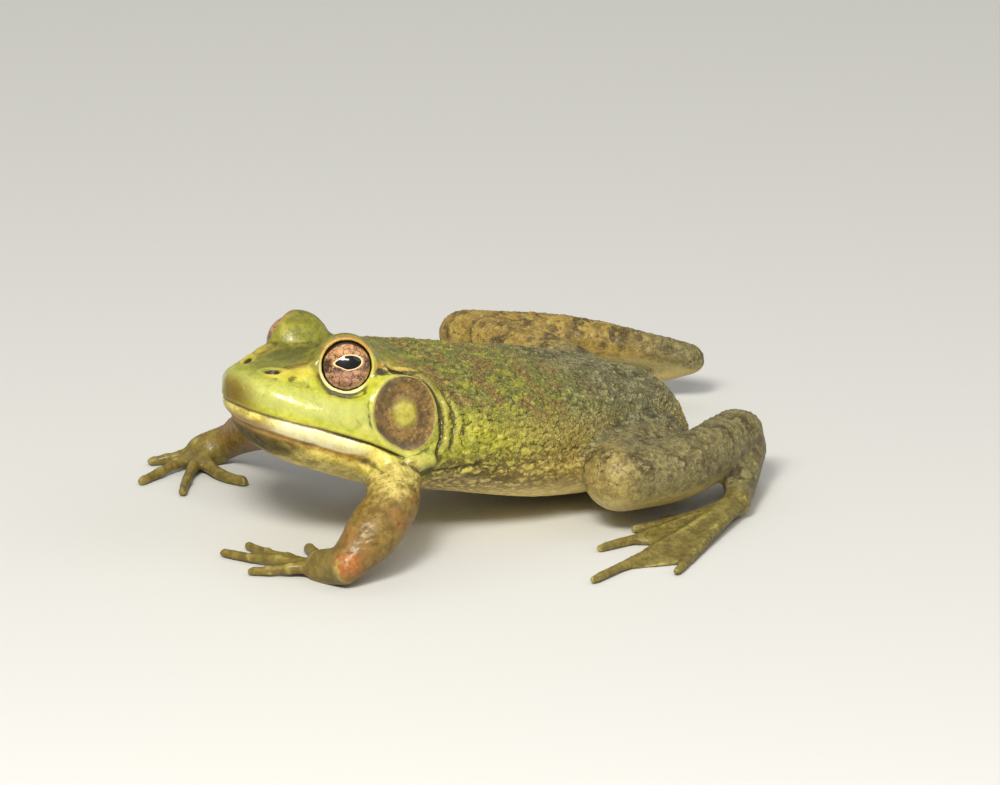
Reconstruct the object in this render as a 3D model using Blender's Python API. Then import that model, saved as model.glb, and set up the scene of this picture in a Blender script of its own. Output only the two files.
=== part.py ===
"""An adult male American bullfrog at life size: a still display model in its resting pose.

The frog lies on its belly with its chest propped on its arms. Its snout points along -Y, its left
side is +X and the floor is z = 0. The left hind leg is folded along the flank, and the right one is
spread to the side with the knee raised. The body is modelled whole from rounded volumes, fused into
one skin, and then parted into its named members by thin cuts.
"""

import math

import bmesh
import bpy
import numpy as np
from mathutils import Matrix, Vector
from mathutils.bvhtree import BVHTree

MM = 0.001

# Sizes of the finish of the solids, in millimetres.
FUSE_CELL = 0.7            # cell of the remesh that fuses the volumes
SMOOTHING_PASSES = 4
SMOOTHING_FACTOR = 0.5
BODY_TRIANGLES = 4700      # triangles left in the whole skin before it is parted
CRUMB_VOLUME = 1e-7        # a loose crumb of less than this many cubic metres is dropped
CUT = 0.35                 # width of each parting cut
SKIN_CLEARANCE = 1.3       # how far outside the trunk's surface the limbs are parted from it
LIMB_CUT_TOP = 31.0        # the limbs join the trunk below this height
RING_POINTS = 36
BODY_RINGS = 44
CUTTER_RING_POINTS = 20
CUTTER_RINGS = 19
ROUNDNESS = 2.25           # exponent of the body's cross-sections, 2 is an ellipse
LEAST_SQUARE = 0.2         # the squared half width or height of a section never goes below this
BALL_SUBDIVISIONS = 4
LIMB_STEPS = 8
LIMB_POINTS = 16
DIGIT_POINTS = 12
END_BALL = 0.995           # the ball that rounds a limb's end, as a share of its radius
SHARP_ANGLE = 40.0         # edges sharper than this many degrees stay sharp in the shading

# Body sections: forward of the vent, half width, height of the widest line, rise above it and
# drop below it. A closed end has no width, rise or drop.
BODY_SECTIONS = (
    (3.5, 0.0, 10.0, 0.0, 0.0),
    (7.0, 9.0, 10.8, 9.0, 7.0),
    (13.0, 15.0, 11.8, 13.2, 10.6),
    (24.0, 21.5, 13.3, 15.6, 13.9),
    (40.0, 27.0, 15.6, 18.0, 14.8),
    (60.0, 31.0, 18.6, 20.3, 14.8),
    (78.0, 30.0, 22.0, 21.6, 13.6),
    (92.0, 27.3, 25.4, 21.4, 13.6),
    (103.0, 26.2, 28.2, 21.0, 13.8),
    (113.0, 23.5, 31.6, 17.9, 13.0),
    (125.0, 17.4, 36.0, 12.2, 11.6),
    (132.5, 10.9, 39.2, 7.8, 7.6),
    (137.4, 0.0, 42.0, 0.0, 0.0),
)
BODY_START = BODY_SECTIONS[0][0]
BODY_END = BODY_SECTIONS[-1][0]

# The mouth line seen from the side, front to corner, then the back edge of the lower jaw.
MOUTH_LINE = ((146.0, 41.3), (135.0, 39.0), (123.5, 35.6), (111.4, 30.7), (103.0, 26.3))
JAW_BACK_LOW = (100.5, 4.0)
RIBBON_REACH = 60.0        # half width of the neck and mouth cuts

# The neck cut leans forward as it goes down, behind the ears and in front of the shoulders.
NECK_HIGH = (87.0, 60.0)
NECK_LOW = (98.5, 0.0)

# Places (forward, side, up) deep inside the three largest members.
TRUNK_MIDDLE = (50.0, 0.0, 20.0)
HEAD_MIDDLE = (112.0, 0.0, 42.0)
JAW_MIDDLE = (120.0, 0.0, 29.0)
SOLE_STEP = 4.0            # from the ankle to a place inside the foot
SOLE_BELOW = 1.0           # and how far down from it

# Cutter boxes between two corners: everything below the floor, and where the limbs are parted.
BELOW_FLOOR = ((-200.0, -200.0, -50.0), (300.0, 200.0, 0.0))
LIMB_ZONE = ((-20.0, -60.0, -20.0), (118.0, 60.0, LIMB_CUT_TOP))

EYE_CENTRE = (110.2, 10.9, 47.4)
EYE_LOOKS = (0.453, 0.855, 0.252)
EYE_RADIUS = 6.9
EYE_GAP = 0.3
LID_RADIUS = 8.4
LID_FACE = 3.7             # distance from the eye's centre to the flat rim of the lids
LID_FACE_RADIUS = 7.9
LID_STRETCH = (1.0, 1.08, 0.98)
WINDOW_REACH = 9.0         # how far in front of the rim everything over the eye is cleared
EYE_SEGMENTS = 16
EYE_RINGS = 9
# The ridge from each eye to its nostril: forward, out from the midline, up, radius.
SNOUT_RIDGE = ((112.0, 11.0, 43.5, 6.0), (122.0, 8.5, 43.8, 4.4), (130.0, 5.5, 43.2, 3.2))

EAR_CENTRE = (101.4, 23.4, 36.6)
EAR_FACES = (0.10, 0.96, 0.26)
EAR_RADIUS = 9.4
EAR_THICKNESS = 2.6
EAR_PROUD = 0.5
EAR_SEAT_REACH = 8.0       # how far outside the eardrum its seat is cleared
EAR_SEGMENTS = 24

# Each limb: joints as (forward, out from the midline, up, radius), in millimetres. A finger is
# its tip (forward, out) and how far it bows forward on the way. A crease is where the gap behind
# a folded knee opens.
ARMS = {
    "left": {
        "side": 1,
        "upper_arm": ((98.0, 14.0, 23.0, 8.2), (104.0, 22.5, 20.5, 7.4), (109.5, 30.5, 17.0, 6.6)),
        "forearm": ((109.5, 30.5, 17.0, 6.6), (118.0, 33.5, 11.5, 6.9), (126.0, 34.0, 5.2, 4.6)),
        "palm": ((126.0, 34.0, 5.2, 4.6), (127.0, 25.0, 2.8, 4.4)),
        "fingers": ((141.5, 13.5, 0.8), (139.0, -2.0, 0.6), (130.0, -3.0, 0.8), (118.5, 7.0, -1.0)),
    },
    "right": {
        "side": -1,
        "upper_arm": ((98.0, 14.0, 23.0, 8.2), (98.0, 27.0, 20.0, 7.4), (96.5, 38.5, 17.0, 6.6)),
        "forearm": ((96.5, 38.5, 17.0, 6.6), (94.5, 49.5, 13.0, 6.6), (94.5, 61.0, 6.0, 4.4)),
        "palm": ((94.5, 61.0, 6.0, 4.4), (100.5, 65.5, 2.8, 4.4)),
        "fingers": ((112.5, 71.0, -0.6), (123.0, 59.5, 0.8), (119.5, 46.5, 1.0), (102.5, 44.5, 3.5)),
    },
}
FINGER_SHARES = (0.0, 0.35, 0.7, 1.0)
FINGER_RADII = (1.75, 1.5, 1.35, 1.25)
THUMB_STOUTNESS = 1.2
FINGER_HEIGHTS = (2.4, 2.3, 1.4, 1.0)

LEGS = {
    "left": {
        "side": 1,
        "thigh": ((16.5, 10.0, 11.5, 8.6), (30.0, 22.5, 11.5, 9.6), (48.0, 37.0, 14.0, 8.4)),
        "shank": ((48.0, 38.5, 14.0, 8.6), (28.0, 38.0, 13.2, 8.0), (4.5, 26.5, 14.2, 6.4)),
        "tarsus": ((3.0, 25.8, 9.2, 7.0), (9.5, 36.0, 5.6, 4.6), (17.5, 45.5, 3.8, 3.4)),
        "toe_heading": 20.0,
        "crease": (14.0, 22.0, 12.5),
    },
    "right": {
        "side": -1,
        "thigh": ((15.0, 10.0, 13.0, 9.0), (18.0, 36.0, 16.5, 9.4), (23.0, 64.0, 19.5, 6.6)),
        "shank": ((23.0, 64.0, 19.5, 6.4), (-1.0, 51.0, 17.3, 6.0), (-26.5, 34.8, 12.0, 3.7)),
        "tarsus": ((-26.5, 34.8, 11.2, 3.7), (-19.0, 45.0, 7.0, 4.0), (-10.0, 57.0, 4.4, 4.0)),
        "toe_heading": 16.0,
    },
}
# Toes from the innermost to the outermost: turn away from the longest toe, and length.
TOES = ((-40.0, 19.0), (-30.0, 28.0), (-17.0, 43.0), (0.0, 62.0), (16.0, 47.0))
TOE_RADII = (1.9, 1.6, 1.35, 1.2)
TOE_SHARES = (0.0, 0.4, 0.7, 1.0)
TOE_ROOT = 1.25            # a toe is this many times stouter at its root
TOE_DROP = 2.2             # exponent of a toe's way down from the ankle to the floor
LONGEST_TOE = 3
SOLE_SHARE = 0.35          # the stout part of the foot runs this far towards the longest toe
SOLE_TAPER = 0.62
WEB_REACH = 0.8            # how far out along a toe its web runs
WEB_DIP = 0.72             # the web's free edge, between two toes, is drawn in to this
WEB_THICKNESS = 2.0
WEB_STEPS = 6
WEB_NARROWEST = 0.5        # where the toes meet closer than this, the web starts a little later
WEB_LATE_START = 0.15
TOE_HEIGHT = 1.1
WEB_HEIGHT = 0.7
CUT_REACH = 16.0           # half height of a parting cut at a joint
CUT_OUTWARD = 1.8          # how far such a cut runs outside a bend, in radii of the limb
JOINT_SPARE = 1.6          # how far it runs past the crease inside the bend, in radii
WRIST_SPARE = 0.3
ANKLE_BACK = 2.2           # the foot is parted this far short of the ankle
ANKLE_REACH = 9.0          # half width and half height of that cut

COLOURS = {
    "head": (0.30, 0.34, 0.07, 1.0),
    "jaw": (0.55, 0.52, 0.18, 1.0),
    "trunk": (0.20, 0.22, 0.07, 1.0),
    "arm": (0.28, 0.22, 0.08, 1.0),
    "leg": (0.17, 0.16, 0.07, 1.0),
    "eye": (0.42, 0.20, 0.11, 1.0),
    "tympanum": (0.20, 0.15, 0.06, 1.0),
}


def at(forward, side, up):
    """A place on the frog, from millimetres forward, to its left and up, to metres."""
    return Vector((side, -forward, up)) * MM


def heading(forward, side, up):
    """A unit direction from its forward, left and up parts."""
    return Vector((side, -forward, up)).normalized()


def clear_scene():
    for thing in list(bpy.data.objects):
        bpy.data.objects.remove(thing, do_unlink=True)


def through(keys, values, where):
    """Read a smooth curve through values at keys, with slopes from the neighbouring keys."""
    keys = np.asarray(keys, float)
    values = np.asarray(values, float)
    slopes = np.gradient(values, keys)
    span = int(np.clip(np.searchsorted(keys, where) - 1, 0, len(keys) - 2))
    length = keys[span + 1] - keys[span]
    u = (where - keys[span]) / length
    start = values[span] * (1 + 2 * u) * (1 - u) ** 2 + slopes[span] * length * u * (1 - u) ** 2
    end = values[span + 1] * u * u * (3 - 2 * u) - slopes[span + 1] * length * u * u * (1 - u)
    return float(start + end)


def add_object(name, bm):
    bmesh.ops.recalc_face_normals(bm, faces=bm.faces)
    mesh = bpy.data.meshes.new(name)
    bm.to_mesh(mesh)
    bm.free()
    thing = bpy.data.objects.new(name, mesh)
    bpy.context.scene.collection.objects.link(thing)
    return thing


def add_loft(bm, rings, start=None, end=None):
    """Skin rings of equal count into a closed body, closed at its ends by a point or a face."""
    loops = [[bm.verts.new(point) for point in ring] for ring in rings]
    count = len(rings[0])
    for near, far in zip(loops, loops[1:]):
        for k in range(count):
            after = (k + 1) % count
            bm.faces.new((near[k], near[after], far[after], far[k]))
    for loop, tip in ((loops[0], start), (loops[-1], end)):
        if tip is None:
            bm.faces.new(loop)
            continue
        point = bm.verts.new(tip)
        for k in range(count):
            bm.faces.new((loop[k], loop[(k + 1) % count], point))


def add_ball(bm, centre, radius, stretch=(1.0, 1.0, 1.0)):
    """Add a ball, or an egg stretched along the frog's side, length and height."""
    shape = Matrix.Translation(centre) @ Matrix.Diagonal((*stretch, 1.0))
    bmesh.ops.create_icosphere(bm, subdivisions=BALL_SUBDIVISIONS, radius=radius * MM, matrix=shape)


def body_rings(extra, count, points):
    """The trunk and head as one run of cross-sections, grown outward by extra millimetres."""
    keys = [row[0] for row in BODY_SECTIONS]
    middles = [row[2] for row in BODY_SECTIONS]
    squares = [[row[k] ** 2 for row in BODY_SECTIONS] for k in (1, 3, 4)]
    rings = []
    for step in range(1, count):
        share = (1 - math.cos(math.pi * step / count)) / 2
        forward = BODY_START + (BODY_END - BODY_START) * share
        middle = through(keys, middles, forward)
        half_width, rise, drop = (
            math.sqrt(max(through(keys, values, forward), LEAST_SQUARE)) + extra for values in squares
        )
        stretched = forward + extra * (2 * share - 1)
        ring = []
        for k in range(points):
            turn = 2 * math.pi * k / points
            across, height = math.cos(turn), math.sin(turn)
            across = math.copysign(abs(across) ** (2 / ROUNDNESS), across)
            height = math.copysign(abs(height) ** (2 / ROUNDNESS), height)
            reach = rise if height > 0 else drop
            ring.append(at(stretched, across * half_width, middle + height * reach))
        rings.append(ring)
    return rings


def add_body(bm, extra=0.0, count=BODY_RINGS, points=RING_POINTS):
    first, last = BODY_SECTIONS[0], BODY_SECTIONS[-1]
    vent = at(first[0] - extra, 0, first[2])
    snout = at(last[0] + extra, 0, last[2])
    add_loft(bm, body_rings(extra, count, points), vent, snout)


def add_limb(bm, joints, steps=LIMB_STEPS, points=LIMB_POINTS):
    """Add a rounded tapering limb through joints given as (place, radius in millimetres)."""
    keys = np.linspace(0, 1, len(joints))
    rings = []
    spine = []
    for step in range(steps + 1):
        u = step / steps
        place = Vector([through(keys, [joint[0][axis] for joint in joints], u) for axis in range(3)])
        spine.append((place, through(keys, [joint[1] for joint in joints], u) * MM))
    for step, (place, radius) in enumerate(spine):
        before = spine[max(step - 1, 0)][0]
        after = spine[min(step + 1, steps)][0]
        along = (after - before).normalized()
        level = along.cross(Vector((0, 0, 1))).normalized()
        upright = level.cross(along)
        ring = []
        for k in range(points):
            turn = 2 * math.pi * k / points
            ring.append(place + (level * math.cos(turn) + upright * math.sin(turn)) * radius)
        rings.append(ring)
    add_loft(bm, rings)
    for place, radius in (spine[0], spine[-1]):
        add_ball(bm, place, radius / MM * END_BALL)


def limb_joints(rows, side):
    return [(at(forward, side * out, up), radius) for forward, out, up, radius in rows]


def add_head_features(bm):
    """The lids over the eyes and the ridges from eye to nostril."""
    forward, out, up = EYE_CENTRE
    for side in (-1, 1):
        add_ball(bm, at(forward, side * out, up), LID_RADIUS, LID_STRETCH)
        add_limb(bm, limb_joints(SNOUT_RIDGE, side))


def add_hand(bm, arm):
    side = arm["side"]
    palm = limb_joints(arm["palm"], side)
    add_limb(bm, palm)
    knuckles = palm[-1][0]
    thumb = arm["fingers"][-1]
    for finger in arm["fingers"]:
        forward, out, bow = finger
        tip = at(forward, side * out, 0)
        run = Vector((tip.x - knuckles.x, tip.y - knuckles.y, 0))
        stoutness = THUMB_STOUTNESS if finger is thumb else 1.0
        joints = []
        for share, radius, height in zip(FINGER_SHARES, FINGER_RADII, FINGER_HEIGHTS):
            place = Vector((knuckles.x, knuckles.y, 0)) + run * share
            place.y -= bow * math.sin(math.pi * share) * MM
            place.z = height * MM
            joints.append((place, radius * stoutness))
        add_limb(bm, joints, points=DIGIT_POINTS)


def toe_path(ankle, turn, length, side):
    """Places along a toe, from the ankle down to the floor and on to the tip."""
    along = heading(math.cos(math.radians(turn)), side * math.sin(math.radians(turn)), 0)
    path = []
    for share in TOE_SHARES:
        place = ankle + along * length * share * MM
        place.z = (ankle.z - TOE_HEIGHT * MM) * (1 - share) ** TOE_DROP + TOE_HEIGHT * MM
        path.append(place)
    return path


def along_toe(path, share):
    return Vector([through(TOE_SHARES, [place[axis] for place in path], share) for axis in range(3)])


def add_web(bm, near, far):
    """Add the skin between two toes as a thin closed sheet with a drawn-in free edge."""
    half = WEB_THICKNESS * MM / 2
    rows = []
    for step in range(WEB_STEPS + 1):
        u = WEB_REACH * step / WEB_STEPS
        dipped = u * (1 - (1 - WEB_DIP) * step / WEB_STEPS)
        middle = (along_toe(near, dipped) + along_toe(far, dipped)) / 2
        row = [along_toe(near, u), middle, along_toe(far, u)]
        for place in row:
            place.z += (WEB_HEIGHT - TOE_HEIGHT) * MM
        rows.append(row)
    rings = []
    for row in rows:
        ring = [place + Vector((0, 0, half)) for place in row]
        ring += [place - Vector((0, 0, half)) for place in reversed(row)]
        rings.append(ring)
    start = rings[0]
    if (start[0] - start[2]).length < WEB_NARROWEST * MM:
        rings[0] = [rings[0][k].lerp(rings[1][k], WEB_LATE_START) for k in range(len(rings[0]))]
    add_loft(bm, rings)


def add_foot(bm, leg):
    side = leg["side"]
    forward, out, up, radius = leg["tarsus"][-1]
    ankle = at(forward, side * out, up)
    toes = []
    for turn, length in TOES:
        path = toe_path(ankle, leg["toe_heading"] + turn, length, side)
        toes.append(path)
        radii = (TOE_RADII[0] * TOE_ROOT, *TOE_RADII[1:])
        add_limb(bm, list(zip(path, radii)), points=DIGIT_POINTS)
    for near, far in zip(toes, toes[1:]):
        add_web(bm, near, far)
    middle = ankle.lerp(toes[LONGEST_TOE][1], SOLE_SHARE)
    add_limb(bm, [(ankle, radius), (middle, radius * SOLE_TAPER)])


def evaluated_copy(thing, name):
    """A plain object holding another's mesh with its modifiers taken in, which it replaces."""
    graph = bpy.context.evaluated_depsgraph_get()
    mesh = bpy.data.meshes.new_from_object(thing.evaluated_get(graph))
    copy = bpy.data.objects.new(name, mesh)
    bpy.context.scene.collection.objects.link(copy)
    bpy.data.objects.remove(thing, do_unlink=True)
    return copy


def whole_frog():
    """Fuse every rounded volume into one smooth skin with few triangles."""
    bm = bmesh.new()
    add_body(bm)
    add_head_features(bm)
    for arm in ARMS.values():
        add_limb(bm, limb_joints(arm["upper_arm"], arm["side"]))
        add_limb(bm, limb_joints(arm["forearm"], arm["side"]))
        add_hand(bm, arm)
    for leg in LEGS.values():
        for part in ("thigh", "shank", "tarsus"):
            add_limb(bm, limb_joints(leg[part], leg["side"]))
        add_foot(bm, leg)
    frog = add_object("whole", bm)
    fuse = frog.modifiers.new("fuse", "REMESH")
    fuse.mode = "VOXEL"
    fuse.voxel_size = FUSE_CELL * MM
    smooth = frog.modifiers.new("smooth", "SMOOTH")
    smooth.factor = SMOOTHING_FACTOR
    smooth.iterations = SMOOTHING_PASSES
    frog = evaluated_copy(frog, "whole")
    thin = frog.modifiers.new("thin", "DECIMATE")
    thin.ratio = BODY_TRIANGLES / (2 * len(frog.data.polygons))
    thin.use_collapse_triangulate = True
    return evaluated_copy(frog, "whole")


def enclosed_volume(mesh):
    """The volume of a mesh in cubic metres, or None where it is not closed."""
    bm = bmesh.new()
    bm.from_mesh(mesh)
    closed = all(len(edge.link_faces) == 2 for edge in bm.edges)
    volume = bm.calc_volume() if closed else None
    bm.free()
    return volume


def cut(thing, cutter, operation="DIFFERENCE"):
    """Cut one object by another, drop the cutter, and make sure that the cut left no tear."""
    whole = enclosed_volume(thing.data)
    tool = enclosed_volume(cutter.data)
    least, most = (whole - tool, whole) if operation == "DIFFERENCE" else (0.0, min(whole, tool))
    step = thing.modifiers.new("cut", "BOOLEAN")
    step.operation = operation
    step.solver = "EXACT"
    step.object = cutter
    name = thing.name
    result = evaluated_copy(thing, name)
    result.name = name
    bpy.data.objects.remove(cutter, do_unlink=True)
    volume = enclosed_volume(result.data)
    if volume is None or not least - CRUMB_VOLUME <= volume <= most:
        raise ValueError(f"{name} tears when it is cut")
    return result


def box(low, high):
    """A cutter box between two corners given as (forward, side, up) in millimetres."""
    bm = bmesh.new()
    a, b = at(*low), at(*high)
    size = Vector([abs(b[axis] - a[axis]) for axis in range(3)])
    place = Matrix.Translation((a + b) / 2) @ Matrix.Diagonal((*size, 1.0))
    bmesh.ops.create_cube(bm, size=1.0, matrix=place)
    return add_object("box", bm)


def slab(centre, normal, along, reach, height):
    """A thin flat cutter through centre, square to normal, from -reach[0] to reach[1] along."""
    normal = normal.normalized()
    along = (along - normal * along.dot(normal)).normalized()
    upright = normal.cross(along)
    turn = Matrix((along, upright, normal)).transposed().to_4x4()
    middle = centre + along * (reach[1] - reach[0]) / 2 * MM
    size = Matrix.Diagonal(((reach[0] + reach[1]) * MM, 2 * height * MM, CUT * MM, 1.0))
    bm = bmesh.new()
    bmesh.ops.create_cube(bm, size=1.0, matrix=Matrix.Translation(middle) @ turn @ size)
    return add_object("slab", bm)


def ribbon(line, half_width):
    """A thin cutter that follows a line of (forward, up) and runs straight across the frog."""
    bm = bmesh.new()
    points = [Vector(point) for point in line]
    upper, lower = [], []
    for k, point in enumerate(points):
        before, after = points[max(k - 1, 0)], points[min(k + 1, len(points) - 1)]
        along = (after - before).normalized()
        offset = Vector((-along.y, along.x)) * CUT / 2
        upper.append(point + offset)
        lower.append(point - offset)
    outline = upper + lower[::-1]
    rings = [[at(p.x, side * half_width, p.y) for p in outline] for side in (-1, 1)]
    add_loft(bm, rings)
    return add_object("ribbon", bm)


def body_solid(extra):
    bm = bmesh.new()
    add_body(bm, extra, CUTTER_RINGS, CUTTER_RING_POINTS)
    return add_object("body", bm)


def loose_members(thing):
    """Replace a thing by its separate closed bodies, dropping crumbs."""
    bm = bmesh.new()
    bm.from_mesh(thing.data)
    bpy.data.objects.remove(thing, do_unlink=True)
    bm.verts.index_update()
    unseen = set(bm.verts)
    bodies = []
    while unseen:
        body = {unseen.pop()}
        edge_of_walk = list(body)
        while edge_of_walk:
            vertex = edge_of_walk.pop()
            for edge in vertex.link_edges:
                other = edge.other_vert(vertex)
                if other in unseen:
                    unseen.remove(other)
                    body.add(other)
                    edge_of_walk.append(other)
        bodies.append(body)
    members = []
    for body in sorted(bodies, key=len, reverse=True):
        kept = {vertex.index for vertex in body}
        piece = bm.copy()
        others = [vertex for vertex in piece.verts if vertex.index not in kept]
        bmesh.ops.delete(piece, geom=others, context="VERTS")
        if piece.calc_volume() > CRUMB_VOLUME:
            members.append(add_object("member", piece))
        else:
            piece.free()
    bm.free()
    return members


def holder_of(things, place):
    """The thing that holds a place inside its surface, the closest one if several seem to."""
    held = []
    for number, thing in enumerate(things):
        corners = [vertex.co for vertex in thing.data.vertices]
        tree = BVHTree.FromPolygons(corners, [tuple(face.vertices) for face in thing.data.polygons])
        found, normal, _, distance = tree.find_nearest(place)
        if (place - found).dot(normal) < 0:
            held.append((distance, number))
    return things[min(held)[1]]


def part_at(things, place, cutter):
    """Cut only the thing that holds a place, and split what the cut sets free."""
    held = holder_of(things, place)
    things.remove(held)
    things.extend(loose_members(cut(held, cutter)))


def part_whole(frog):
    """Part the whole skin into its members by thin cuts, as a list of closed bodies."""
    frog = cut(frog, box(*BELOW_FLOOR))
    shell = cut(body_solid(SKIN_CLEARANCE + CUT), body_solid(SKIN_CLEARANCE))
    shell = cut(shell, box(*LIMB_ZONE), "INTERSECT")
    members = loose_members(cut(frog, shell))
    part_at(members, at(*TRUNK_MIDDLE), ribbon((NECK_HIGH, NECK_LOW), RIBBON_REACH))
    part_at(members, at(*HEAD_MIDDLE), ribbon((*MOUTH_LINE, JAW_BACK_LOW), RIBBON_REACH))
    for limbs, names in ((ARMS, ("upper_arm", "forearm", "palm")), (LEGS, ("thigh", "shank", "tarsus"))):
        for limb in limbs.values():
            cut_limb(members, limb, names)
    return members


def cut_limb(members, limb, names):
    side = limb["side"]
    chains = [limb_joints(limb[name], side) for name in names]
    for near, far in zip(chains, chains[1:]):
        joint = near[-1][0].lerp(far[0][0], 0.5)
        inward = (joint - near[-2][0]).normalized()
        outward = (far[1][0] - joint).normalized()
        radius = near[-1][1]
        half_angle = (-inward).angle(outward) / 2
        fold = outward - inward
        if near is chains[0] and "crease" in limb:
            forward, out, up = limb["crease"]
            fold = at(forward, side * out, up) - joint
        spare = WRIST_SPARE if limb in ARMS.values() and far is chains[-1] else JOINT_SPARE
        depth = radius * (spare + 1 / math.sin(half_angle))
        across = inward + outward
        across -= fold * across.dot(fold) / fold.length_squared
        part_at(members, joint, slab(joint, across, fold, (radius * CUT_OUTWARD, depth), CUT_REACH))
    if "toe_heading" in limb:
        ankle = chains[-1][-1][0]
        before = chains[-1][-2][0]
        along = (ankle - before).normalized()
        level = along.cross(Vector((0, 0, 1)))
        place = ankle - along * ANKLE_BACK * MM
        part_at(members, place, slab(place, along, level, (ANKLE_REACH, ANKLE_REACH), ANKLE_REACH))


def member_seeds():
    """A place inside each member, by its name."""
    seeds = {"trunk": at(*TRUNK_MIDDLE), "head": at(*HEAD_MIDDLE), "jaw": at(*JAW_MIDDLE)}
    for limbs, names in ((ARMS, ("upper_arm", "forearm")), (LEGS, ("thigh", "shank", "tarsus"))):
        for side_name, limb in limbs.items():
            for name in names:
                start, middle, end = limb_joints(limb[name], limb["side"])
                seeds[f"{name}_{side_name}"] = middle[0].lerp(end[0], 0.5)
    for side_name, arm in ARMS.items():
        seeds[f"hand_{side_name}"] = limb_joints(arm["palm"], arm["side"])[1][0]
    for side_name, leg in LEGS.items():
        forward, out, up, radius = leg["tarsus"][-1]
        turn = math.radians(leg["toe_heading"])
        step = heading(math.cos(turn), leg["side"] * math.sin(turn), 0) * SOLE_STEP * MM
        seeds[f"foot_{side_name}"] = at(forward, leg["side"] * out, up - SOLE_BELOW) + step
    return seeds


def name_members(members):
    """Name each member after the seed that lies inside it."""
    named = {}
    for name, seed in member_seeds().items():
        holder = holder_of(members, seed)
        if holder.name in named:
            raise ValueError(f"{name} and {holder.name} were not parted")
        holder.name = name
        holder.data.name = name
        named[name] = holder
    if len(named) < len(members):
        raise ValueError("a member has no name")
    return named


def turned(centre, axis):
    """The placing that puts a shape made along +Z at centre, along axis."""
    return Matrix.Translation(centre) @ axis.to_track_quat("Z", "Y").to_matrix().to_4x4()


def eyeball(name, side, extra=0.0):
    forward, out, up = EYE_CENTRE
    looks = heading(EYE_LOOKS[0], side * EYE_LOOKS[1], EYE_LOOKS[2])
    place = turned(at(forward, side * out, up), looks)
    bm = bmesh.new()
    bmesh.ops.create_uvsphere(bm, u_segments=EYE_SEGMENTS, v_segments=EYE_RINGS,
                              radius=(EYE_RADIUS + extra) * MM, matrix=place)
    return add_object(name, bm)


def disc(name, centre, axis, radius, low, high):
    """A round disc from low to high along its axis, in millimetres from its centre."""
    bm = bmesh.new()
    place = turned(centre + axis * (low + high) / 2 * MM, axis)
    bmesh.ops.create_cone(bm, cap_ends=True, segments=EAR_SEGMENTS, radius1=radius * MM, radius2=radius * MM,
                          depth=(high - low) * MM, matrix=place)
    return add_object(name, bm)


def fit_eyes_and_ears(members):
    """Sink the eyeballs in open sockets under the lids, and the eardrums in shallow seats."""
    for side_name, side in (("left", 1), ("right", -1)):
        forward, out, up = EYE_CENTRE
        centre = at(forward, side * out, up)
        looks = heading(EYE_LOOKS[0], side * EYE_LOOKS[1], EYE_LOOKS[2])
        window = disc("window", centre, looks, LID_FACE_RADIUS, LID_FACE, LID_FACE + WINDOW_REACH)
        members["head"] = cut(members["head"], window)
        members["head"] = cut(members["head"], eyeball("socket", side, EYE_GAP))
        members[f"eye_{side_name}"] = eyeball(f"eye_{side_name}", side)
        forward, out, up = EAR_CENTRE
        centre = at(forward, side * out, up)
        faces = heading(EAR_FACES[0], side * EAR_FACES[1], EAR_FACES[2])
        seat = disc("seat", centre, faces, EAR_RADIUS + CUT, EAR_PROUD - EAR_THICKNESS - CUT, EAR_SEAT_REACH)
        members["head"] = cut(members["head"], seat)
        name = f"tympanum_{side_name}"
        members[name] = disc(name, centre, faces, EAR_RADIUS, EAR_PROUD - EAR_THICKNESS, EAR_PROUD)


def stand_on_origin(things):
    """Move everything so that the bottom centre of the whole is the origin."""
    corners = [vertex.co for thing in things for vertex in thing.data.vertices]
    low = Vector([min(corner[axis] for corner in corners) for axis in range(3)])
    high = Vector([max(corner[axis] for corner in corners) for axis in range(3)])
    shift = Vector((-(low.x + high.x) / 2, -(low.y + high.y) / 2, -low.z))
    for thing in things:
        thing.data.transform(Matrix.Translation(shift))


def finish_material(name, colour, roughness):
    material = bpy.data.materials.new(name)
    material.use_nodes = True
    shader = material.node_tree.nodes["Principled BSDF"]
    shader.inputs["Base Color"].default_value = colour
    shader.inputs["Roughness"].default_value = roughness
    shader.inputs["Metallic"].default_value = 0.0
    return material


def give_materials(members):
    for name, thing in members.items():
        kind = name.replace("_left", "").replace("_right", "")
        group = {"upper_arm": "arm", "forearm": "arm", "hand": "arm", "thigh": "leg", "shank": "leg",
                 "tarsus": "leg", "foot": "leg"}.get(kind, kind)
        roughness = 0.1 if group == "eye" else 0.4
        thing.data.materials.clear()
        thing.data.materials.append(finish_material(name, COLOURS[group], roughness))
        thing.data.shade_smooth()
        thing.data.set_sharp_from_angle(angle=math.radians(SHARP_ANGLE))


clear_scene()
members = name_members(part_whole(whole_frog()))
fit_eyes_and_ears(members)
stand_on_origin(list(members.values()))
give_materials(members)
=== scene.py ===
# %% [markdown]
# # A bullfrog at life size
# The real thing is a soft, wet animal in one continuous skin, with only its eyes as separate
# parts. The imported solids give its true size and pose, so they are loaded first and never moved.
# Everything that follows is a finish laid over them: one skin, two eyes, the skin's granules,
# a floor, lights and a camera.

# %% Load the frame
import math

import bmesh
import bpy
import numpy as np
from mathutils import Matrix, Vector, noise
from mathutils.bvhtree import BVHTree


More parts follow.
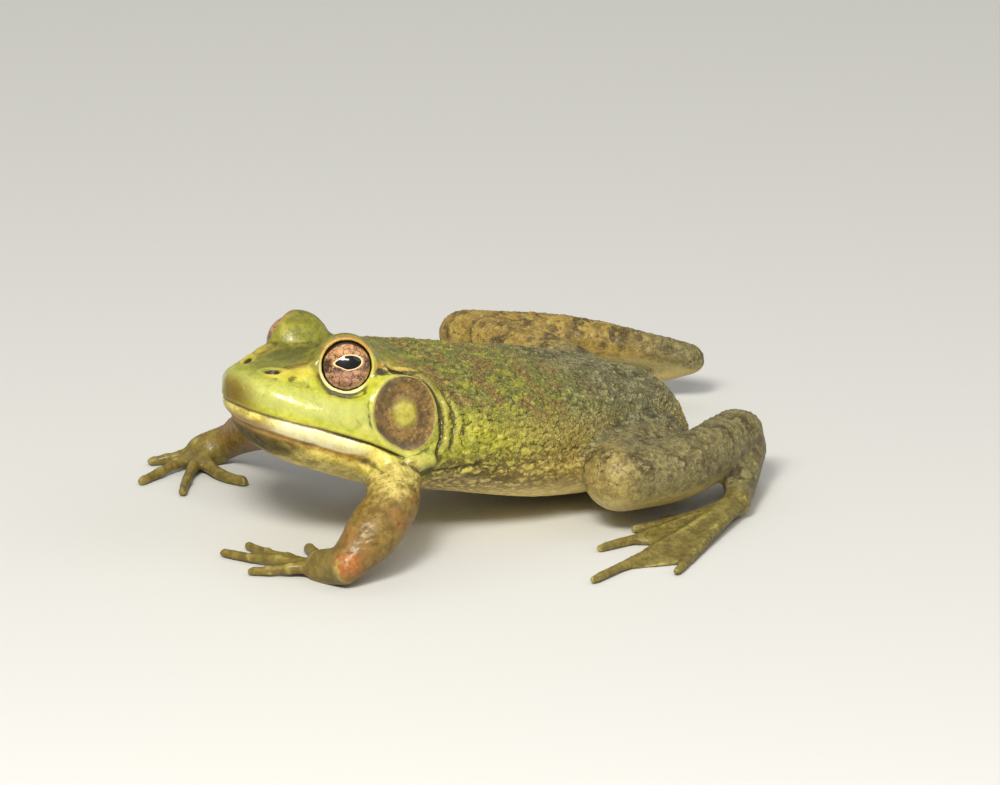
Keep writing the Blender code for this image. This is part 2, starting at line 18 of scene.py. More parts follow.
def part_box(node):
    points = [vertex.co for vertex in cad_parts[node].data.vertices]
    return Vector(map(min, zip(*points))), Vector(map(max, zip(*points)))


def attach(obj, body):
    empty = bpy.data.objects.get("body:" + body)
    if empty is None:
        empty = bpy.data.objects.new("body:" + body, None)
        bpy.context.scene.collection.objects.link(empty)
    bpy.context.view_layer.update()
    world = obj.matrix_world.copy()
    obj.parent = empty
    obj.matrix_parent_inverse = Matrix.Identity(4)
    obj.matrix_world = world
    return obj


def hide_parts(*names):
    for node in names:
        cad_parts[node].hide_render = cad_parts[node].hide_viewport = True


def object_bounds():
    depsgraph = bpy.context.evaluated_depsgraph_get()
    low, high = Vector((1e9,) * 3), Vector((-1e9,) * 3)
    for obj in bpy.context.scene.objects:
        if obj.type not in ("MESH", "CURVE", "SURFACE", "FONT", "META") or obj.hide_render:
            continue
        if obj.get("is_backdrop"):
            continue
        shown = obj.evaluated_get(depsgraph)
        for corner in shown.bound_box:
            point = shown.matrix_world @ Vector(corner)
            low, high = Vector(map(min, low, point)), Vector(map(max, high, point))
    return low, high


MM = 0.001

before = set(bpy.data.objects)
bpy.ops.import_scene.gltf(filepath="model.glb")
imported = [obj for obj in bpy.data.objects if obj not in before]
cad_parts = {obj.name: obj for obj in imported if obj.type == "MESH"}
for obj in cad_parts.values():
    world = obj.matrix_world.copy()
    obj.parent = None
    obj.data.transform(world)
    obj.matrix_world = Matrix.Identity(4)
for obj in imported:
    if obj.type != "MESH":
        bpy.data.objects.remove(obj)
cad_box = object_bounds()
print("frame box", [tuple(round(value, 4) for value in corner) for corner in cad_box])

# %% [markdown]
# ## The frog's own measures
# An animal is easiest to describe along its own body: forward from the vent, to its left from the
# midline, and up from the floor, in millimetres. The eyeballs are the surest landmarks, because
# they come in a pair and are exact spheres in the solids, so the measures are hung on them. The
# alternative is world coordinates everywhere, which reads badly and hides the left-right symmetry.

# %% Frog measures
EYE = np.array((110.2, 10.9, 47.4))      # centre of the left eye: forward, left, up

eye_boxes = [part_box(f"eye_{side}") for side in ("left", "right")]
eye_middles = [(low + high) / 2 for low, high in eye_boxes]
MIDLINE = (eye_middles[0].x + eye_middles[1].x) / 2
EYE_Y = (eye_middles[0].y + eye_middles[1].y) / 2
print("midline", round(MIDLINE, 5), "eyes at y", round(EYE_Y, 5))


def to_frog(points):
    """World places in metres to (forward, left, up) in millimetres."""
    points = np.asarray(points, float)
    return np.stack([EYE[0] - (points[:, 1] - EYE_Y) / MM, (points[:, 0] - MIDLINE) / MM,
                     points[:, 2] / MM], axis=1)


def to_world(places):
    """(forward, left, up) in millimetres to world places in metres."""
    places = np.atleast_2d(np.asarray(places, float))
    return np.stack([MIDLINE + places[:, 1] * MM, EYE_Y - (places[:, 0] - EYE[0]) * MM,
                     places[:, 2] * MM], axis=1)


def smooth_step(values, low, high):
    """0 below low, 1 above high, and an easy curve between; low may be the larger one."""
    share = np.clip((np.asarray(values, float) - low) / (high - low), 0, 1)
    return share * share * (3 - 2 * share)


# %% [markdown]
# ## Lid margins
# A frog's lid ends in a rounded margin that lies on the eyeball. The solids give only the opening,
# so a thin ring round each line of sight will be fused into the skin there. It is set out from the
# eye's own axes, which makes the right ring the mirror image of the left one.

# %% Rings for the lid margins
LID_RING = 6.28            # radius of the lid margin's ring round the line of sight
LID_THICK = 0.50
LID_AT = 3.50              # how far in front of the eye's centre the ring lies
LOOKS = np.array((0.453, 0.855, 0.252))
LOOKS = LOOKS / np.linalg.norm(LOOKS)
TO_FRONT_CORNER = np.array((1.0, 0.0, 0.08))


def mirrored(vector, side):
    """A (forward, left, up) vector of the left side, taken to the side asked for."""
    return np.array(vector, float) * (1, side, 1)


def sight_axes(side):
    """The line of sight, and the directions to the eye's front corner and to its top."""
    look = mirrored(LOOKS, side)
    front = TO_FRONT_CORNER - look * TO_FRONT_CORNER.dot(look)
    front /= np.linalg.norm(front)
    top = np.cross(look, front) * side
    return look, front, top if top[2] > 0 else -top


def add_ring(blank, centre, axes, radius, thick, turns=72, round_about=12):
    """Add a closed ring of round section."""
    look, front, top = axes
    rows = []
    for k in range(turns):
        turn = 2 * math.pi * k / turns
        out = front * math.cos(turn) + top * math.sin(turn)
        row = []
        for m in range(round_about):
            roll = 2 * math.pi * m / round_about
            place = centre + out * (radius + thick * math.cos(roll)) + look * thick * math.sin(roll)
            row.append(blank.verts.new(to_world(place)[0]))
        rows.append(row)
    faces = []
    for a, b in zip(rows, rows[1:] + rows[:1]):
        for m in range(round_about):
            n = (m + 1) % round_about
            faces.append(blank.faces.new((a[m], a[n], b[n], b[m])))
    bmesh.ops.recalc_face_normals(blank, faces=faces)


print("left eye looks along", LOOKS.round(3), "and its top is", sight_axes(1)[2].round(3))

# %% [markdown]
# ## One blank for the whole skin
# A live skin has no seams, but the solids are parted at every joint by thin cuts. Copies of the
# flesh solids are therefore swelled by a hair, so that neighbours just meet, and a voxel remesh
# fuses everything into one even skin. Sculpting by hand could do this too, but a remesh follows the
# solids exactly, and gives the small, even faces that folds and wrinkles need.

# %% Join the flesh solids
SWELL = 0.22               # how far each solid grows, so that a parting cut closes

flesh = sorted(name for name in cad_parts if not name.startswith("eye"))
blank = bmesh.new()
face_owner = []
tree_corners = []
tree_faces = []
for number, name in enumerate(flesh):
    piece = bmesh.new()
    piece.from_mesh(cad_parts[name].data)
    bmesh.ops.remove_doubles(piece, verts=piece.verts, dist=1e-6)
    piece.normal_update()
    start = len(tree_corners)
    tree_corners.extend(vertex.co.copy() for vertex in piece.verts)
    for face in piece.faces:
        tree_faces.append([start + vertex.index for vertex in face.verts])
        face_owner.append(number)
    for vertex in piece.verts:
        vertex.co += vertex.normal * SWELL * MM
    mesh = bpy.data.meshes.new("swelled")
    piece.to_mesh(mesh)
    piece.free()
    blank.from_mesh(mesh)
    bpy.data.meshes.remove(mesh)
for side in (1, -1):
    axes = sight_axes(side)
    add_ring(blank, mirrored(EYE, side) + axes[0] * LID_AT, axes, LID_RING, LID_THICK)
owner_tree = BVHTree.FromPolygons(tree_corners, tree_faces)
print("flesh solids", len(flesh), "faces", len(tree_faces))

# %% [markdown]
# ## Fusing
# The remesh walks a grid of small cubes through the blank and keeps its outer surface. Where a
# parting cut is wide inside, it also leaves a closed bubble, which nobody sees but which would stay
# in every export. Only the largest connected part is the skin.

# %% Fuse them
SKIN_CELL = 0.45           # size of the skin's faces


def take_in(thing):
    """Replace an object's mesh by its evaluated one, and drop its modifiers."""
    graph = bpy.context.evaluated_depsgraph_get()
    mesh = bpy.data.meshes.new_from_object(thing.evaluated_get(graph))
    thing.modifiers.clear()
    old = thing.data
    thing.data = mesh
    bpy.data.meshes.remove(old)
    return mesh


def drop_bubbles(mesh):
    """Delete all but the largest connected part of a mesh, and return how many parts went."""
    shell = bmesh.new()
    shell.from_mesh(mesh)
    unseen = set(shell.verts)
    parts = []
    while unseen:
        front = {unseen.pop()}
        part = set()
        while front:
            part |= front
            front = {edge.other_vert(vertex) for vertex in front for edge in vertex.link_edges} & unseen
            unseen -= front
        parts.append(part)
    parts.sort(key=len)
    for part in parts[:-1]:
        bmesh.ops.delete(shell, geom=list(part), context="VERTS")
    shell.to_mesh(mesh)
    shell.free()
    return len(parts) - 1


skin_mesh = bpy.data.meshes.new("skin")
blank.to_mesh(skin_mesh)
blank.free()
skin = bpy.data.objects.new("skin", skin_mesh)
bpy.context.scene.collection.objects.link(skin)
fuse = skin.modifiers.new("fuse", "REMESH")
fuse.mode = "VOXEL"
fuse.voxel_size = SKIN_CELL * MM
skin_mesh = take_in(skin)
print("bubbles dropped", drop_bubbles(skin_mesh), "fused skin faces", len(skin_mesh.polygons))

# %% [markdown]
# ## Working on the skin as arrays
# The next steps move some two hundred thousand points. A Python loop over Blender's vertices would
# be slow, so the points, edges and faces are read into NumPy arrays once, and every fold, dimple
# and wrinkle is a formula on those arrays. The result goes back into the mesh at the end.


# %% Skin arrays
class Surface:
    """A mesh as arrays: places in frog measures, edges, and normals."""

    def __init__(self, mesh):
        self.mesh = mesh
        flat = np.empty(len(mesh.vertices) * 3)
        mesh.vertices.foreach_get("co", flat)
        self.places = to_frog(flat.reshape(-1, 3))
        ends = np.empty(len(mesh.edges) * 2, dtype=np.int64)
        mesh.edges.foreach_get("vertices", ends)
        self.edges = ends.reshape(-1, 2)
        self.degree = np.bincount(self.edges.ravel(), minlength=len(self.places)).astype(float)

    def around(self, values):
        """The mean of each point's neighbours."""
        table = values.reshape(len(values), -1)
        total = np.empty_like(table, dtype=float)
        near, far = self.edges[:, 0], self.edges[:, 1]
        for column in range(table.shape[1]):
            total[:, column] = np.bincount(near, table[far, column], len(table))
            total[:, column] += np.bincount(far, table[near, column], len(table))
        return (total / self.degree[:, None]).reshape(values.shape)

    def spread(self, values, rounds, share=0.5):
        """Values blurred over the surface."""
        for _ in range(rounds):
            values = values + (self.around(values) - values) * share
        return values

    def put_back(self):
        self.mesh.vertices.foreach_set("co", to_world(self.places).ravel())
        self.mesh.update()

    def normals(self):
        """Outward unit normals in frog measures."""
        self.put_back()
        flat = np.empty(len(self.places) * 3)
        self.mesh.vertices.foreach_get("normal", flat)
        turned = flat.reshape(-1, 3)
        return np.stack([-turned[:, 1], turned[:, 0], turned[:, 2]], axis=1)


def owners_of(places):
    """The number of the solid nearest to each place."""
    world = to_world(places)
    return np.array([face_owner[owner_tree.find_nearest(Vector(place))[2]] for place in world])


skin_surface = Surface(skin_mesh)
owner = owners_of(skin_surface.places)
print("points", len(owner))

# %% [markdown]
# ## Rounding off
# The solids are made of flat facets a few millimetres wide, which no skin has. Each point is moved
# towards the mean of its neighbours, again and again. Broad parts get the most of this and fingers
# almost none, because the same number of rounds would wear a finger away. A subdivision surface is
# the usual alternative, but it would have to be made from the coarse, uneven facets.

# %% Round off the facets
ROUNDS = 150
STRIDE = 0.5               # share of the way to its neighbours' mean that a point moves in a round
SOFTNESS = {"trunk": 1.0, "head": 0.34, "jaw": 0.5, "tympanum": 0.3, "upper_arm": 0.5,
            "forearm": 0.45, "hand": 0.07, "thigh": 0.6, "shank": 0.6, "tarsus": 0.3, "foot": 0.06}
LID_SOFTNESS = 0.08
LID_ZONE = (7.7, 9.2)      # distances from the eye's centre between which the lids end
OFF_FLOOR = (0.2, 1.5)     # heights between which the skin leaves the floor


def kind_of(name):
    return name.replace("_left", "").replace("_right", "")


def less_on_lids(values, places, least, zone):
    """Values cut to their least share on the lids, with a soft change over the zone."""
    for side in (1, -1):
        distance = np.linalg.norm(places - mirrored(EYE, side), axis=1)
        values = values * (least + (1 - least) * smooth_step(distance, *zone))
    return values


softness = np.array([SOFTNESS[kind_of(name)] for name in flesh])[owner]
softness = less_on_lids(softness, skin_surface.places, LID_SOFTNESS, LID_ZONE)
softness = skin_surface.spread(softness, rounds=14)
for _ in range(ROUNDS):
    pull = skin_surface.around(skin_surface.places) - skin_surface.places
    skin_surface.places += pull * (STRIDE * softness)[:, None]
off_floor = smooth_step(skin_surface.places[:, 2], *OFF_FLOOR)
skin_surface.places -= skin_surface.normals() * (SWELL * off_floor)[:, None]
print("rounded, lowest point", round(skin_surface.places[:, 2].min(), 3), "mm")

# %% [markdown]
# ## Folds, slits and domes
# The marks that make this a bullfrog's head are long ones: the slit of the mouth, the fold that
# runs from the eye over the eardrum and down behind it, the lids, the creases at the armpit. Each
# is given as a short path of places, and the skin is raised or sunk by how far each point lies from
# that path. Sculpt strokes work the same way, but a path with a width and a depth can be changed
# later by one number.


# %% Tools for folds
PATH_REACH = 3.2           # how many widths from a path the skin is still moved
DOME_REACH = 2.6           # how many radii from a dome's centre


def along_path(places, path):
    """Distance of each place to a path, and how far along the path its nearest point lies, 0 to 1."""
    path = np.asarray(path, float)
    best = np.full(len(places), 1e9)
    share = np.zeros(len(places))
    lengths = np.linalg.norm(np.diff(path, axis=0), axis=1)
    reached = np.concatenate([[0], np.cumsum(lengths)]) / lengths.sum()
    for k, (start, end) in enumerate(zip(path, path[1:])):
        run = end - start
        t = np.clip((places - start) @ run / run.dot(run), 0, 1)
        distance = np.linalg.norm(places - start - t[:, None] * run, axis=1)
        nearer = distance < best
        best[nearer] = distance[nearer]
        share[nearer] = (reached[k] + (reached[k + 1] - reached[k]) * t)[nearer]
    return best, share


def rounded_path(points, steps=4):
    """A path with its corners rounded, by Catmull-Rom curves through its points."""
    points = np.asarray(points, float)
    padded = np.vstack([2 * points[0] - points[1], points, 2 * points[-1] - points[-2]])
    made = []
    for a, b, c, d in zip(padded, padded[1:], padded[2:], padded[3:]):
        for t in np.arange(steps) / steps:
            made.append(0.5 * (2 * b + (c - a) * t + (2 * a - 5 * b + 4 * c - d) * t ** 2
                               + (3 * b - a - 3 * c + d) * t ** 3))
    made.append(points[-1])
    return np.array(made)


def laid_on(surface, points):
    """A rounded path through the points, laid on the skin."""
    nearest = [np.argmin(((surface.places - place) ** 2).sum(axis=1)) for place in rounded_path(points)]
    laid = surface.places[nearest]
    laid[1:-1] = (laid[:-2] + 2 * laid[1:-1] + laid[2:]) / 4
    return laid


def left_half(places):
    """Places with those of the right side mirrored to the left."""
    return np.column_stack([places[:, 0], np.abs(places[:, 1]), places[:, 2]])


def bell(distance, width):
    """1 at no distance, and falling away softly to nothing at some two widths."""
    return np.exp(-(distance / width) ** 2)


def lift(surface, near, amount):
    """Move these points out along the skin's normals, or in where the amount is negative."""
    surface.places[near] += surface.normals()[near] * amount[:, None]


def raise_along(surface, points, height, width, ends=0.12):
    """Raise the skin by height, or sink it where that is negative, along a path on both sides."""
    places = left_half(surface.places)
    reach = width * PATH_REACH
    inside = (places > np.min(points, axis=0) - reach) & (places < np.max(points, axis=0) + reach)
    near = np.nonzero(inside.all(axis=1))[0]
    distance, share = along_path(places[near], laid_on(surface, points))
    amount = height * bell(distance, width)
    amount *= smooth_step(share, 0, ends) * smooth_step(share, 1, 1 - ends)
    lift(surface, near, amount)
    return len(near)


def raise_dome(surface, centre, height, radius):
    """Raise a round patch of skin."""
    distance = np.linalg.norm(surface.places - np.asarray(centre), axis=1)
    near = np.nonzero(distance < radius * DOME_REACH)[0]
    lift(surface, near, height * bell(distance[near], radius))


print("tools ready for", len(skin_surface.places), "points")

# %% [markdown]
# ## Snout and heel
# Two outlines need a last touch that the solids are too coarse for: the tip of the snout is blunter
# at the lip than above it, and the folded left heel is a little fuller.

# %% Touch up the outline
SNOUT_TIP = (127.0, 137.0)     # forward, from where the snout is blunted and to its end
SNOUT_FACE = (46.0, 38.0)      # up, from the top of the snout's end down to the lip
BLUNTED = 1.5                  # how far the snout is drawn back at the lip
BLUNTED_ABOVE = 0.55           # share of that at its top
HEEL = np.array((1.5, 25.5, 17.0))
HEEL_FULLER = 1.7
HEEL_WIDTH = 7.5

blunt = smooth_step(skin_surface.places[:, 0], *SNOUT_TIP)
blunt *= BLUNTED_ABOVE + (1 - BLUNTED_ABOVE) * smooth_step(skin_surface.places[:, 2], *SNOUT_FACE)
skin_surface.places[:, 0] -= blunt * BLUNTED
away = skin_surface.places - HEEL
fuller = HEEL_FULLER * bell(np.linalg.norm(away, axis=1), HEEL_WIDTH) * smooth_step(away[:, 0], 4.0, -3.0)
skin_surface.places[:, 0] -= fuller
print("heel moved by", round(fuller.max(), 2), "mm")

# %% [markdown]
# ## Lids close on the eyeballs
# Eyelids are thin and lie on the ball itself. Points that the rounding pulled inside the ball are
# pushed back out to its surface, and the thick dome of the solids is pressed down to a lid's
# thickness over the left eye, whose lid is drawn back further than the right one's.

# %% Fit the lids
BALL_CLEAR = 6.92                      # the skin's least distance from the eye's centre
LID_DEPTH = {1: 7.75, -1: 8.5}         # distance of the lid's outside from the eye's centre
LID_REACH = 10.5
LID_TOP = (1.0, 4.5)                   # heights over the eye's centre where the upper lid starts

for side, depth in LID_DEPTH.items():
    away = skin_surface.places - mirrored(EYE, side)
    distance = np.linalg.norm(away, axis=1)
    over_lid = smooth_step(away[:, 2], *LID_TOP) * smooth_step(distance, LID_REACH, 9.0)
    pressed = np.where(distance > depth, distance + (depth - distance) * over_lid, distance)
    wanted = np.maximum(pressed, BALL_CLEAR)
    near = distance < LID_REACH
    skin_surface.places[near] += (away * (wanted / distance - 1)[:, None])[near]
    print("lid points fitted", int(near.sum()))

# %% [markdown]
# ## The eardrum
# An adult male's eardrum is far larger than the eye. It is a thin round membrane, dished a little,
# with a soft raised button in the middle and a low rim. The solid gives its place and size, and the
# skin over it is brought to that profile, measured outward from the disc's own axis.

# %% Shape the eardrums
EAR = np.array((101.4, 23.4, 36.6))
EAR_FACES = np.array((0.10, 0.96, 0.26))
EAR_FACES = EAR_FACES / np.linalg.norm(EAR_FACES)
EAR_NARROW = 0.92          # the eardrum is a little narrower than it is high
EAR_PROFILE = (            # distance from the axis, height over the disc
    (0, 1.05), (2.2, 0.95), (3.6, 0.35), (5.2, 0.0), (7.6, 0.05), (8.8, 0.35), (9.5, 0.62), (10.2, 0.25),
    (10.8, -0.1))
EAR_ZONE = 12.5
EAR_FADES = (9.3, 12.0)     # distances over which the profile gives way to the head
EAR_REACH = 4.5            # how far above or below the disc the skin is still drawn to it


def ear_measures(places, side):
    """Distance from the eardrum's axis, and height over its disc."""
    axis = mirrored(EAR_FACES, side)
    away = places - mirrored(EAR, side)
    height = away @ axis
    away = away - height[:, None] * axis
    return np.hypot(away[:, 0] / EAR_NARROW, np.hypot(away[:, 1], away[:, 2])), height


for side in (1, -1):
    radius, height = ear_measures(skin_surface.places, side)
    near = np.nonzero((radius < EAR_ZONE) & (np.abs(height) < EAR_REACH))[0]
    wanted = np.interp(radius[near], *zip(*EAR_PROFILE))
    move = (wanted - height[near]) * (1 - smooth_step(radius[near], *EAR_FADES))
    skin_surface.places[near] += mirrored(EAR_FACES, side) * move[:, None]
    print("eardrum points shaped", len(near))

# %% [markdown]
# ## The mouth
# The mouth closes in one long slit that dips in a slow curve to below the eardrum. The upper lip
# overhangs it a little, the lower lip swells below it, and a shallow groove parts the lip from the
# chin. All four follow one line, so each is a bell-shaped step at its own height over the slit.

# %% Shape the mouth
MOUTH_HEIGHT = (           # forward, up
    (103.0, 26.3), (111.4, 30.7), (123.5, 35.6), (135.0, 39.0), (146.0, 41.3))
LIPS = (                   # height over the slit, width, how far it is raised
    (0.95, 0.75, 0.22), (-1.8, 1.2, 0.30), (-4.9, 1.3, -0.60))
SLIT_WIDTH = 0.38
SLIT_DEEP = 0.95
SLIT_OPENS = (126.0, 117.0)    # forward, where the lips stop pressing together
MOUTH_END = (101.5, 106.0)     # forward, where the mouth fades into the cheek
MOUTH_REACH = 9.0
CHIN = 20.0                    # the head lies above this height
MARK_REACH = 4.0               # how far from a thin mark the skin may be moved for it


def over_mouth(places):
    """Height over the mouth's slit, square to it."""
    keys, values = zip(*MOUTH_HEIGHT)
    line = np.interp(places[:, 0], keys, values)
    slope = np.interp(places[:, 0], keys, np.gradient(values, keys))
    return (places[:, 2] - line) * np.cos(np.arctan(slope))


height = over_mouth(skin_surface.places)
forward = skin_surface.places[:, 0]
on_mouth = (forward > MOUTH_END[0]) & (np.abs(height) < MOUTH_REACH)
near = np.nonzero(on_mouth & (skin_surface.places[:, 2] > CHIN))[0]
height = height[near]
forward = forward[near]
amount = sum(raised * bell(height - middle, width) for middle, width, raised in LIPS)
open_share = 0.20 + 0.85 * smooth_step(forward, *SLIT_OPENS)
amount = amount - SLIT_DEEP * open_share * bell(height + 0.05, SLIT_WIDTH)
lift(skin_surface, near, amount * smooth_step(forward, *MOUTH_END))
print("mouth points", len(near))

# %% [markdown]
# ## The fold over the ear
# Behind the eye a firm fold starts in the corner of the lids, arches over the eardrum and hangs
# down behind it, with a sharp dark groove under its edge. This fold, and the lack of any along the
# sides of the back, is what tells a bullfrog from its cousins. It runs round the eardrum, so it is
# given in the eardrum's own plane, by turns and distances from its axis, like the hand of a clock.

# %% Fold over the ear
# Rows of (turn, distance from the axis): 0 degrees lies behind the eardrum and 90 over it.
EAR_FOLD = ((109, 12.4), (101, 11.9), (89, 11.3), (70, 11.2), (50, 11.2), (30, 11.4), (10, 11.6),
            (-10, 11.9), (-28, 12.5), (-42, 13.5), (-54, 14.8))
EAR_GROOVE = ((111, 11.1), (104, 10.6), (95, 10.2), (79, 9.8), (61, 9.75), (40, 9.85), (19, 10.05),
              (-2, 10.3), (-20, 10.7), (-36, 11.5), (-50, 12.5), (-61, 13.7))
EAR_PLANE_REACH = 6.0      # how far from the disc's plane a mark round the eardrum may lie
EAR_BACK = np.array((-1.0, 0.0, 0.0)) + EAR_FACES * EAR_FACES[0]
EAR_UP = np.array((0.0, 0.0, 1.0)) - EAR_FACES * EAR_FACES[2]


def in_ear_plane(places, side):
    """Places in the plane of an eardrum: back and up from its axis, and far off where not near it."""
    away = places - mirrored(EAR, side)
    height = away @ mirrored(EAR_FACES, side)
    back = away @ mirrored(EAR_BACK, side) / EAR_NARROW
    off_plane = np.where(np.abs(height) < EAR_PLANE_REACH, 0.0, 90.0)
    return np.column_stack([back, away @ mirrored(EAR_UP, side), off_plane])


def round_the_ear(rows):
    turns = np.radians([row[0] for row in rows])
    reach = np.array([row[1] for row in rows])
    return rounded_path(np.column_stack([reach * np.cos(turns), reach * np.sin(turns), reach * 0]))


for side in (1, -1):
    for rows, height, width in ((EAR_FOLD, 1.05, 1.15), (EAR_GROOVE, -0.85, 0.45)):
        distance, share = along_path(in_ear_plane(skin_surface.places, side), round_the_ear(rows))
        near = np.nonzero(distance < MARK_REACH)[0]
        amount = height * bell(distance[near], width)
        amount *= smooth_step(share[near], 0.0, 0.05) * smooth_step(share[near], 1.0, 0.85)
        lift(skin_surface, near, amount)
print("ear folds made, points in the last one", len(near))

# %% [markdown]
# ## Folds of the head and the body
# Loose skin lies in a few steady folds: behind the eardrum, round the gland at the corner of the
# mouth, under the eye, over the hip bones and in the armpit. Each is a short path of places with a
# height, below zero for a crease, and a width.

# %% Head and body folds
FOLDS = (
    # the hanging folds and creases behind the eardrum
    (((88.6, 22.0, 41.0), (87.4, 24.6, 37.0), (87.8, 26.4, 32.0), (89.6, 27.4, 27.0), (91.4, 27.4, 23.8)),
     0.60, 1.2),
    (((89.7, 23.6, 40.0), (88.6, 25.6, 35.4), (89.5, 26.8, 30.2), (91.0, 27.3, 25.6)), -0.45, 0.45),
    (((85.6, 21.6, 40.0), (83.0, 25.6, 35.0), (84.0, 27.8, 29.0), (87.6, 27.8, 23.0)), 0.45, 1.6),
    (((86.2, 25.4, 33.0), (86.9, 27.2, 28.6)), -0.35, 0.40),
    (((81.0, 25.2, 33.0), (80.0, 27.8, 29.0)), 0.50, 1.7),
    # the ridge from the upper lip below the eardrum, and the gland behind the mouth
    (((113.4, 22.6, 35.6), (109.2, 24.4, 31.9), (106.0, 25.5, 29.0), (102.6, 26.3, 26.9)), 0.42, 0.95),
    (((104.0, 26.2, 26.4), (98.6, 27.0, 24.8), (94.0, 27.0, 24.8)), 1.25, 1.9),
    (((106.0, 26.2, 24.4), (100.0, 27.4, 22.0), (94.0, 27.2, 21.2)), -0.7, 0.8),
    # the hollow between eye, nostril and lip, and the swelling of the lip below it
    (((126.5, 9.4, 46.2), (121.5, 13.4, 43.6), (117.0, 16.4, 41.6)), -0.45, 1.9),
    (((132.0, 7.5, 43.6), (127.0, 13.6, 41.2), (120.5, 17.8, 38.4), (114.0, 21.2, 36.0)), 0.40, 2.4),
    # the edge of the crown from the nostril back to the lid
    (((130.0, 5.4, 48.2), (125.0, 8.0, 48.6), (119.5, 10.4, 49.6)), 0.35, 1.4),
    # the loose lower lid
    (((116.9, 13.2, 41.9), (114.6, 15.6, 40.6), (111.6, 17.6, 40.2), (108.6, 18.6, 40.9)), 0.45, 0.80),
    (((117.4, 13.4, 40.8), (114.6, 16.2, 39.4), (111.2, 18.2, 39.1), (107.6, 19.2, 39.9)), -0.30, 0.55),
    # the hip bones under the skin of the rump, and the hollow of the back between them
    (((54.0, 11.5, 36.6), (38.0, 9.5, 31.6), (22.0, 6.5, 27.4)), 0.75, 3.2),
    (((84.0, 0.5, 45.0), (60.0, 0.5, 39.0), (34.0, 0.5, 31.6)), -0.55, 3.4),
    # armpit and flank
    (((101.0, 27.4, 21.4), (95.0, 26.6, 20.6), (88.0, 27.0, 20.8), (80.0, 28.6, 22.2)), -0.55, 0.80),
    (((84.0, 28.8, 18.6), (76.0, 30.2, 19.4), (66.0, 31.0, 19.6), (56.0, 30.2, 18.4)), -0.22, 1.20),
)
for points, height, width in FOLDS:
    count = raise_along(skin_surface, points, height, width)
print("folds made", len(FOLDS), "points near the last one", count)

# %% [markdown]
# ## Nostrils
# A bullfrog's nostril is a short slanting slit with a swollen rim that stands a little proud of the
# snout. A ring-shaped swelling and a deep, narrow pit inside it give both from one distance.

# %% Nostrils
FAR = 30.0                 # stands for "nowhere near"
NOSTRIL = np.array((127.9, 5.7, 47.9))
NOSTRIL_LIES = np.array((-0.75, 0.60, -0.15))
NOSTRIL_FACES = np.array((0.30, 0.42, 0.86))
NOSTRIL_LENGTH = 1.9       # how much longer than wide
RIM_AT, RIM_WIDTH, RIM_HEIGHT = 1.55, 0.60, 0.30
PIT_WIDTH, PIT_DEPTH = 0.80, 1.5


def from_nostril(places, side):
    """Distance from a nostril's middle, along the skin, with the slit's long way drawn in."""
    faces = mirrored(NOSTRIL_FACES / np.linalg.norm(NOSTRIL_FACES), side)
    lies = mirrored(NOSTRIL_LIES, side)
    lies = lies - faces * lies.dot(faces)
    lies = lies / np.linalg.norm(lies)
    away = places - mirrored(NOSTRIL, side)
    depth = away @ faces
    away = away - depth[:, None] * faces
    long_way = away @ lies
    across = np.linalg.norm(away - long_way[:, None] * lies, axis=1)
    return np.where(np.abs(depth) < MARK_REACH, np.hypot(long_way / NOSTRIL_LENGTH, across), FAR)


for side in (1, -1):
    distance = from_nostril(skin_surface.places, side)
    near = np.nonzero(distance < MARK_REACH)[0]
    rim = RIM_HEIGHT * bell(distance[near] - RIM_AT, RIM_WIDTH)
    lift(skin_surface, near, rim - PIT_DEPTH * bell(distance[near], PIT_WIDTH))
    print("nostril points", len(near))

# %% [markdown]
# ## Small forms of the limbs
# The left wrist carries a lump at its outer edge, the arm bulges a little over its muscles, and the
# gland behind the mouth swells on both sides. They are low domes, so the limbs keep their outlines.

# %% Domes on the limbs
DOMES = (
    # centre, height, radius, sides
    ((128.2, 36.4, 6.6), 0.9, 3.0, (1,)),
    ((110.5, 33.4, 21.0), 0.5, 4.0, (1,)),
    ((98.5, 26.6, 24.8), 0.5, 3.0, (1, -1)),
    ((120.0, 33.0, 14.0), 0.4, 5.0, (1,)),
)
for centre, height, radius, sides in DOMES:
    for side in sides:
        raise_dome(skin_surface, mirrored(centre, side), height, radius)
print("domes", len(DOMES))

# %% [markdown]
# ## Finger joints
# Each finger is a little thicker at its joints than over the bones between them, and again at its
# soft tip. The joints lie at fixed shares of the way from the palm to the tip, so each finger needs
# only its tip.

# %% Joints on the fingers
HANDS = (
    # palm, then the tips: forward and left
    ((127.0, 25.0), ((141.5, 13.5), (139.0, -2.0), (130.0, -3.0), (118.5, 7.0))),
    ((100.5, -65.5), ((112.5, -71.0), (123.0, -59.5), (119.5, -46.5), (102.5, -44.5))),
)
JOINTS = (                 # share of the way to the tip, height, radius
    (0.42, 0.38, 1.5), (0.70, 0.34, 1.3), (0.97, 0.22, 1.2))
FINGER_HEIGHT = 1.8        # height of a finger's middle over the floor

for palm, tips in HANDS:
    for tip in tips:
        for share, height, radius in JOINTS:
            spot = np.array((*(np.array(palm) + (np.array(tip) - palm) * share), FINGER_HEIGHT))
            distance = np.linalg.norm((skin_surface.places - spot) * (1, 1, 0.6), axis=1)
            near = np.nonzero(distance < MARK_REACH)[0]
            off_floor = smooth_step(skin_surface.places[near, 2], 0.1, 1.0)
            lift(skin_surface, near, height * bell(distance[near], radius) * off_floor)

# %% [markdown]
# ## Lumps and wrinkles
# Frog skin is never smooth: it lies in soft lumps a few millimetres wide, with finer wrinkles on
# top, strongest on the back and flanks and almost absent on the belly, lips and eardrums. Noise on
# the places themselves gives this, with the same result on every run. The finest grain, below the
# size of these faces, is left to real granules and to the material's bump.

